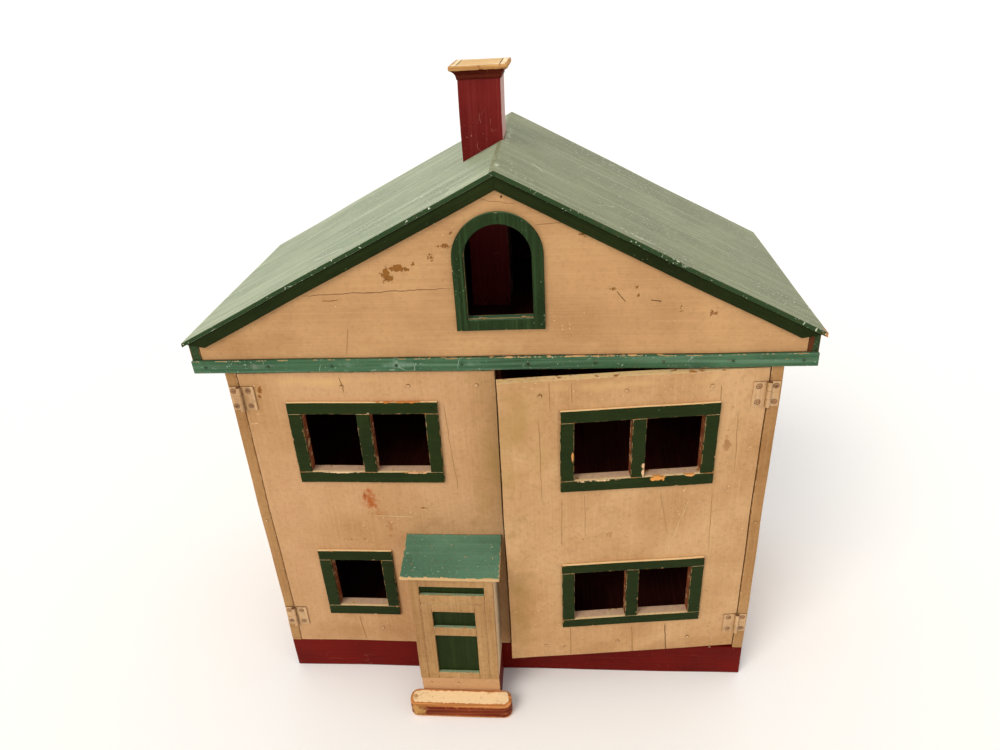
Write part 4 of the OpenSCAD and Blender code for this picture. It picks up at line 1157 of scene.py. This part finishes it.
cap_shape = cap(shaft_low[:2], shaft_high[:2], cap_low[2], cap_high[2],
                shaft_low[0] - cap_low[0], 0.8 * MM, 4 * MM)
place("chimney_cap", cap_shape, ["cap_side_moulding", "cap_end_moulding"], "maroon_paint", cap_wood)
print("cap points", len(cap_shape[0]))

# %% [markdown]
# ## Porch
# The porch is a shallow box on the left door: two sides, a recessed dark green panel, flat strips that
# frame it like a door in its casing, a sloping roof, a maroon base and a worn step. Only the sides and
# the roof aren't plain boxes: their tops follow the roof's fall.

# %% Porch boards
porch_roof_low, porch_roof_high = (np.array(corner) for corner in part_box("porch_roof"))
porch_roof_t, porch_fall = 4 * MM, 14 * MM
# the porch sides' upper corners are the ones above this height
UNDER_PORCH_ROOF = 200 * MM


def porch_top(y, depth=0.0):
    """Height of the porch roof's upper face at y, or a line that lies depth below it."""
    depth_share = (porch_roof_high[1] - y) / (porch_roof_high[1] - porch_roof_low[1])
    return porch_roof_high[2] - depth_share * porch_fall - depth


corners = block(porch_roof_low, porch_roof_high)
upper = corners[..., 2] > porch_roof_low[2] + 1e-6
corners[..., 2] = porch_top(corners[..., 1], np.where(upper, 0.0, porch_roof_t))
place("porch_roof_board", board(corners, 1.0 * MM, 8 * MM), ["porch_roof"], "porch_roof_paint",
      porch_roof_green)
for side in ("left", "right"):
    node = f"porch_{side}_side"
    corners = block(*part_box(node))
    upper = corners[..., 2] > UNDER_PORCH_ROOF
    corners[..., 2] = np.where(upper, porch_top(corners[..., 1], porch_roof_t), corners[..., 2])
    place(node + "_board", board(corners, 0.8 * MM, 8 * MM), [node], "cream_paint", porch_side_cream)
boards("porch_panel", "dark_green_paint", panel_green)
for node in ("porch_stiles", "porch_rails", "porch_leaf_stiles", "porch_leaf_rails"):
    boards(node, "cream_paint", porch_cream, radius=0.7 * MM)
boards("porch_base", "maroon_paint", base_maroon)
print("porch boards done")


# %% The step
def step_shape(low, high, corner_r, ease):
    """A block with round corners in plan and eased edges: the plan outline is a rectangle with quarter
    circles, and its inset follows a quarter circle at the foot and at the top."""
    size = (high - low)[:2]
    core, way, _ = section(size[0], size[1], corner_r, 8 * MM)
    turn = np.radians(np.linspace(0, 90, 5))
    inset = np.concatenate([[ease + EDGE], ease * (1 - np.sin(turn)), [0, 0],
                            ease * (1 - np.sin(turn[::-1])), [ease + EDGE]])
    foot = ease * (1 - np.cos(turn))
    rise = high[2] - low[2]
    height = np.concatenate([[0], foot, [ease + EDGE, rise - ease - EDGE], rise - foot[::-1], [rise]])
    worn = np.concatenate([[0], np.ones(5), [0, 0], np.ones(5), [0]])
    plan = low[:2] + core[None] + (corner_r - inset)[:, None, None] * way[None]
    z = np.broadcast_to((low[2] + height)[:, None], plan.shape[:2])
    points = np.concatenate([plan, z[..., None]], -1)
    return points.reshape(-1, 3), grid_faces(*z.shape), np.repeat(worn, z.shape[1])


step_low, step_high = (np.array(corner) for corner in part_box("porch_step"))
place("porch_step_block", step_shape(step_low, step_high, 10 * MM, 2.5 * MM), ["porch_step"],
      "worn_wood", step_wood)
print("step done")

# %% [markdown]
# ## Nails and hinges
# Nails were punched in and painted over, so each shows as a low dome of paint. A dome is a half circle
# spun about the nail's axis, and all domes of one paint are one piece, made at once from the list of
# centres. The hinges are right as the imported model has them, and only need their paint.


# %% Nail heads
DOME_SIDES = 12
# heights that tell apart the nails of the posts, the band and the arch, and of the porch's roof
BAND_FOOT, BAND_TOP, ATTIC_FOOT = 464 * MM, 480 * MM, 500 * MM
PORCH_ROOF_FOOT = 220 * MM
# how far the porch roof's nails stand behind the front of the box round them
ROOF_NAIL_IN = 1.3 * MM


def domes(centres, up, radius, height):
    """Flat domes: rings at radius times cos(a) and height times sin(a) above each centre, along up."""
    up = np.array(up, float) / np.linalg.norm(up)
    side = np.cross(up, [1.0, 0.02, 0.03])
    side /= np.linalg.norm(side)
    third = np.cross(up, side)
    a = np.radians([-25, 0, 30, 60])
    t = np.linspace(0, 2 * np.pi, DOME_SIDES, endpoint=False)
    out = radius * np.cos(a)[:, None, None] * (np.cos(t)[:, None] * side + np.sin(t)[:, None] * third)
    one = (out + height * np.sin(a)[:, None, None] * up).reshape(-1, 3)
    faces = grid_faces(len(a), DOME_SIDES)
    worn = np.repeat([1.0, 1.0, 0.2, 0.0], DOME_SIDES)
    return joined([(one + centre, faces, worn) for centre in centres])


def head_centres(node):
    """The middle of each nail's head: the front of the box round it."""
    boxes = solids(node)
    middle = boxes.mean(1)
    middle[:, 1] = boxes[:, 0, 1]
    return middle


def nail_piece(name, nodes, centres, slot, finish, body, up=FRONT, radius=1.6 * MM):
    """The domes of one paint, as one piece. Several pieces may stand for one nail node."""
    place(name, domes(centres, up, radius, 0.35 * radius), nodes, slot, finish, body=body)


house_nails = head_centres("carcass_nails")
on_band = (house_nails[:, 2] > BAND_FOOT) & (house_nails[:, 2] < BAND_TOP)
on_arch = house_nails[:, 2] > ATTIC_FOOT
on_posts = ~on_band & ~on_arch
for name, chosen, slot, finish, radius in (
        ("band_nails", on_band, "band_green_paint", band_nail_green, 1.8 * MM),
        ("arch_nails", on_arch, "dark_green_paint", arch_green, 1.6 * MM),
        ("post_nails", on_posts, "cream_paint", nail_cream, 1.6 * MM)):
    nail_piece(name, ["carcass_nails"], house_nails[chosen], slot, finish, "carcass", radius=radius)
for side in ("left", "right"):
    door_nails = head_centres(side + "_door_nails")
    # the frame strips stand 2 mm or more in front of the door's face
    on_frame = door_nails[:, 1] < front_y - 2 * MM
    body = side + "_door"
    if on_frame.any():
        nail_piece(side + "_frame_nails", [side + "_door_nails"], door_nails[on_frame],
                   "dark_green_paint", sash_nail_green, body, radius=1.2 * MM)
    nail_piece(side + "_face_nails", [side + "_door_nails"], door_nails[~on_frame], "cream_paint",
               nail_cream, body, radius=2.3 * MM)
porch_boxes = solids("porch_nails")
on_roof = porch_boxes[:, 1, 2] > PORCH_ROOF_FOOT
roof_heads = porch_boxes[on_roof].mean(1)
roof_heads[:, 1] = porch_boxes[on_roof][:, 0, 1] + ROOF_NAIL_IN
roof_heads[:, 2] = porch_top(roof_heads[:, 1])
base_heads = porch_boxes[~on_roof].mean(1)
base_heads[:, 1] = porch_boxes[~on_roof][:, 0, 1]
nail_piece("porch_roof_nails", ["porch_nails"], roof_heads, "porch_roof_paint", porch_roof_green,
           "left_door", (0, -0.22, 1))
nail_piece("porch_base_nails", ["porch_nails"], base_heads, "cream_paint", nail_cream, "left_door")
print("nails: house", len(house_nails), "porch", len(porch_boxes))

# %% Hinges
screw_places = []
for node in ("post_screws", "left_door_screws", "right_door_screws"):
    middle = solids(node).mean(1)
    middle = swung(middle, ajar) if body_name(node) == "right_door" else middle
    screw_places += (middle[:, [0, 2]] / MM).tolist()
# the hinges' side, top and bottom faces are painted darker, the right side most: painted shade along the
# edges of leaves and barrels
EDGE_SHADE = [(RIGHT, "#7d5a36", 0.6), (LEFT, "#94703f", 0.6), (UP, "#5e3f24", 0.9),
             ((0, 0, -1), "#5e3f24", 0.9)]
hinge_steel = painted("cream_oil_paint_on_steel", "#c9a072", shade="#ad8456", pale="#dcb98a",
                      under="#6d4526", brush=UP, streak=0.5, grime=0.4, chips=0.70, grit=5.0,
                      rim="#a37a4c", rough=0.35, gloss=0.4, faces=EDGE_SHADE,
                      marks=[ringed(tuple(place_mm), 2.9, 0.7, "#6b4528") for place_mm in screw_places])
screw_steel = painted("worn_paint_on_screws", "#a97a48", shade="#7c5330", pale="#c79a68",
                      under="#54341e", streak=0.4, grime=0.5, chips=0.60, grit=3.0, rim="#7c5330",
                      rough=0.4, gloss=0.4)
for node in ("post_hinge_leaves", "hinge_pins", "post_screws", "left_door_leaves", "left_door_screws",
             "right_door_leaves", "right_door_screws"):
    metal = frame["nodes"][node]
    metal.data.materials.clear()
    metal.data.materials.append(screw_steel if node.endswith("screws") else hinge_steel)
print("hinge screws", len(screw_places))

# %% [markdown]
# ## Update
# The view layer is brought up to date once all pieces are in place. The visual model has to stay
# inside the imported one.

# %% Update the view layer
bpy.context.view_layer.update()
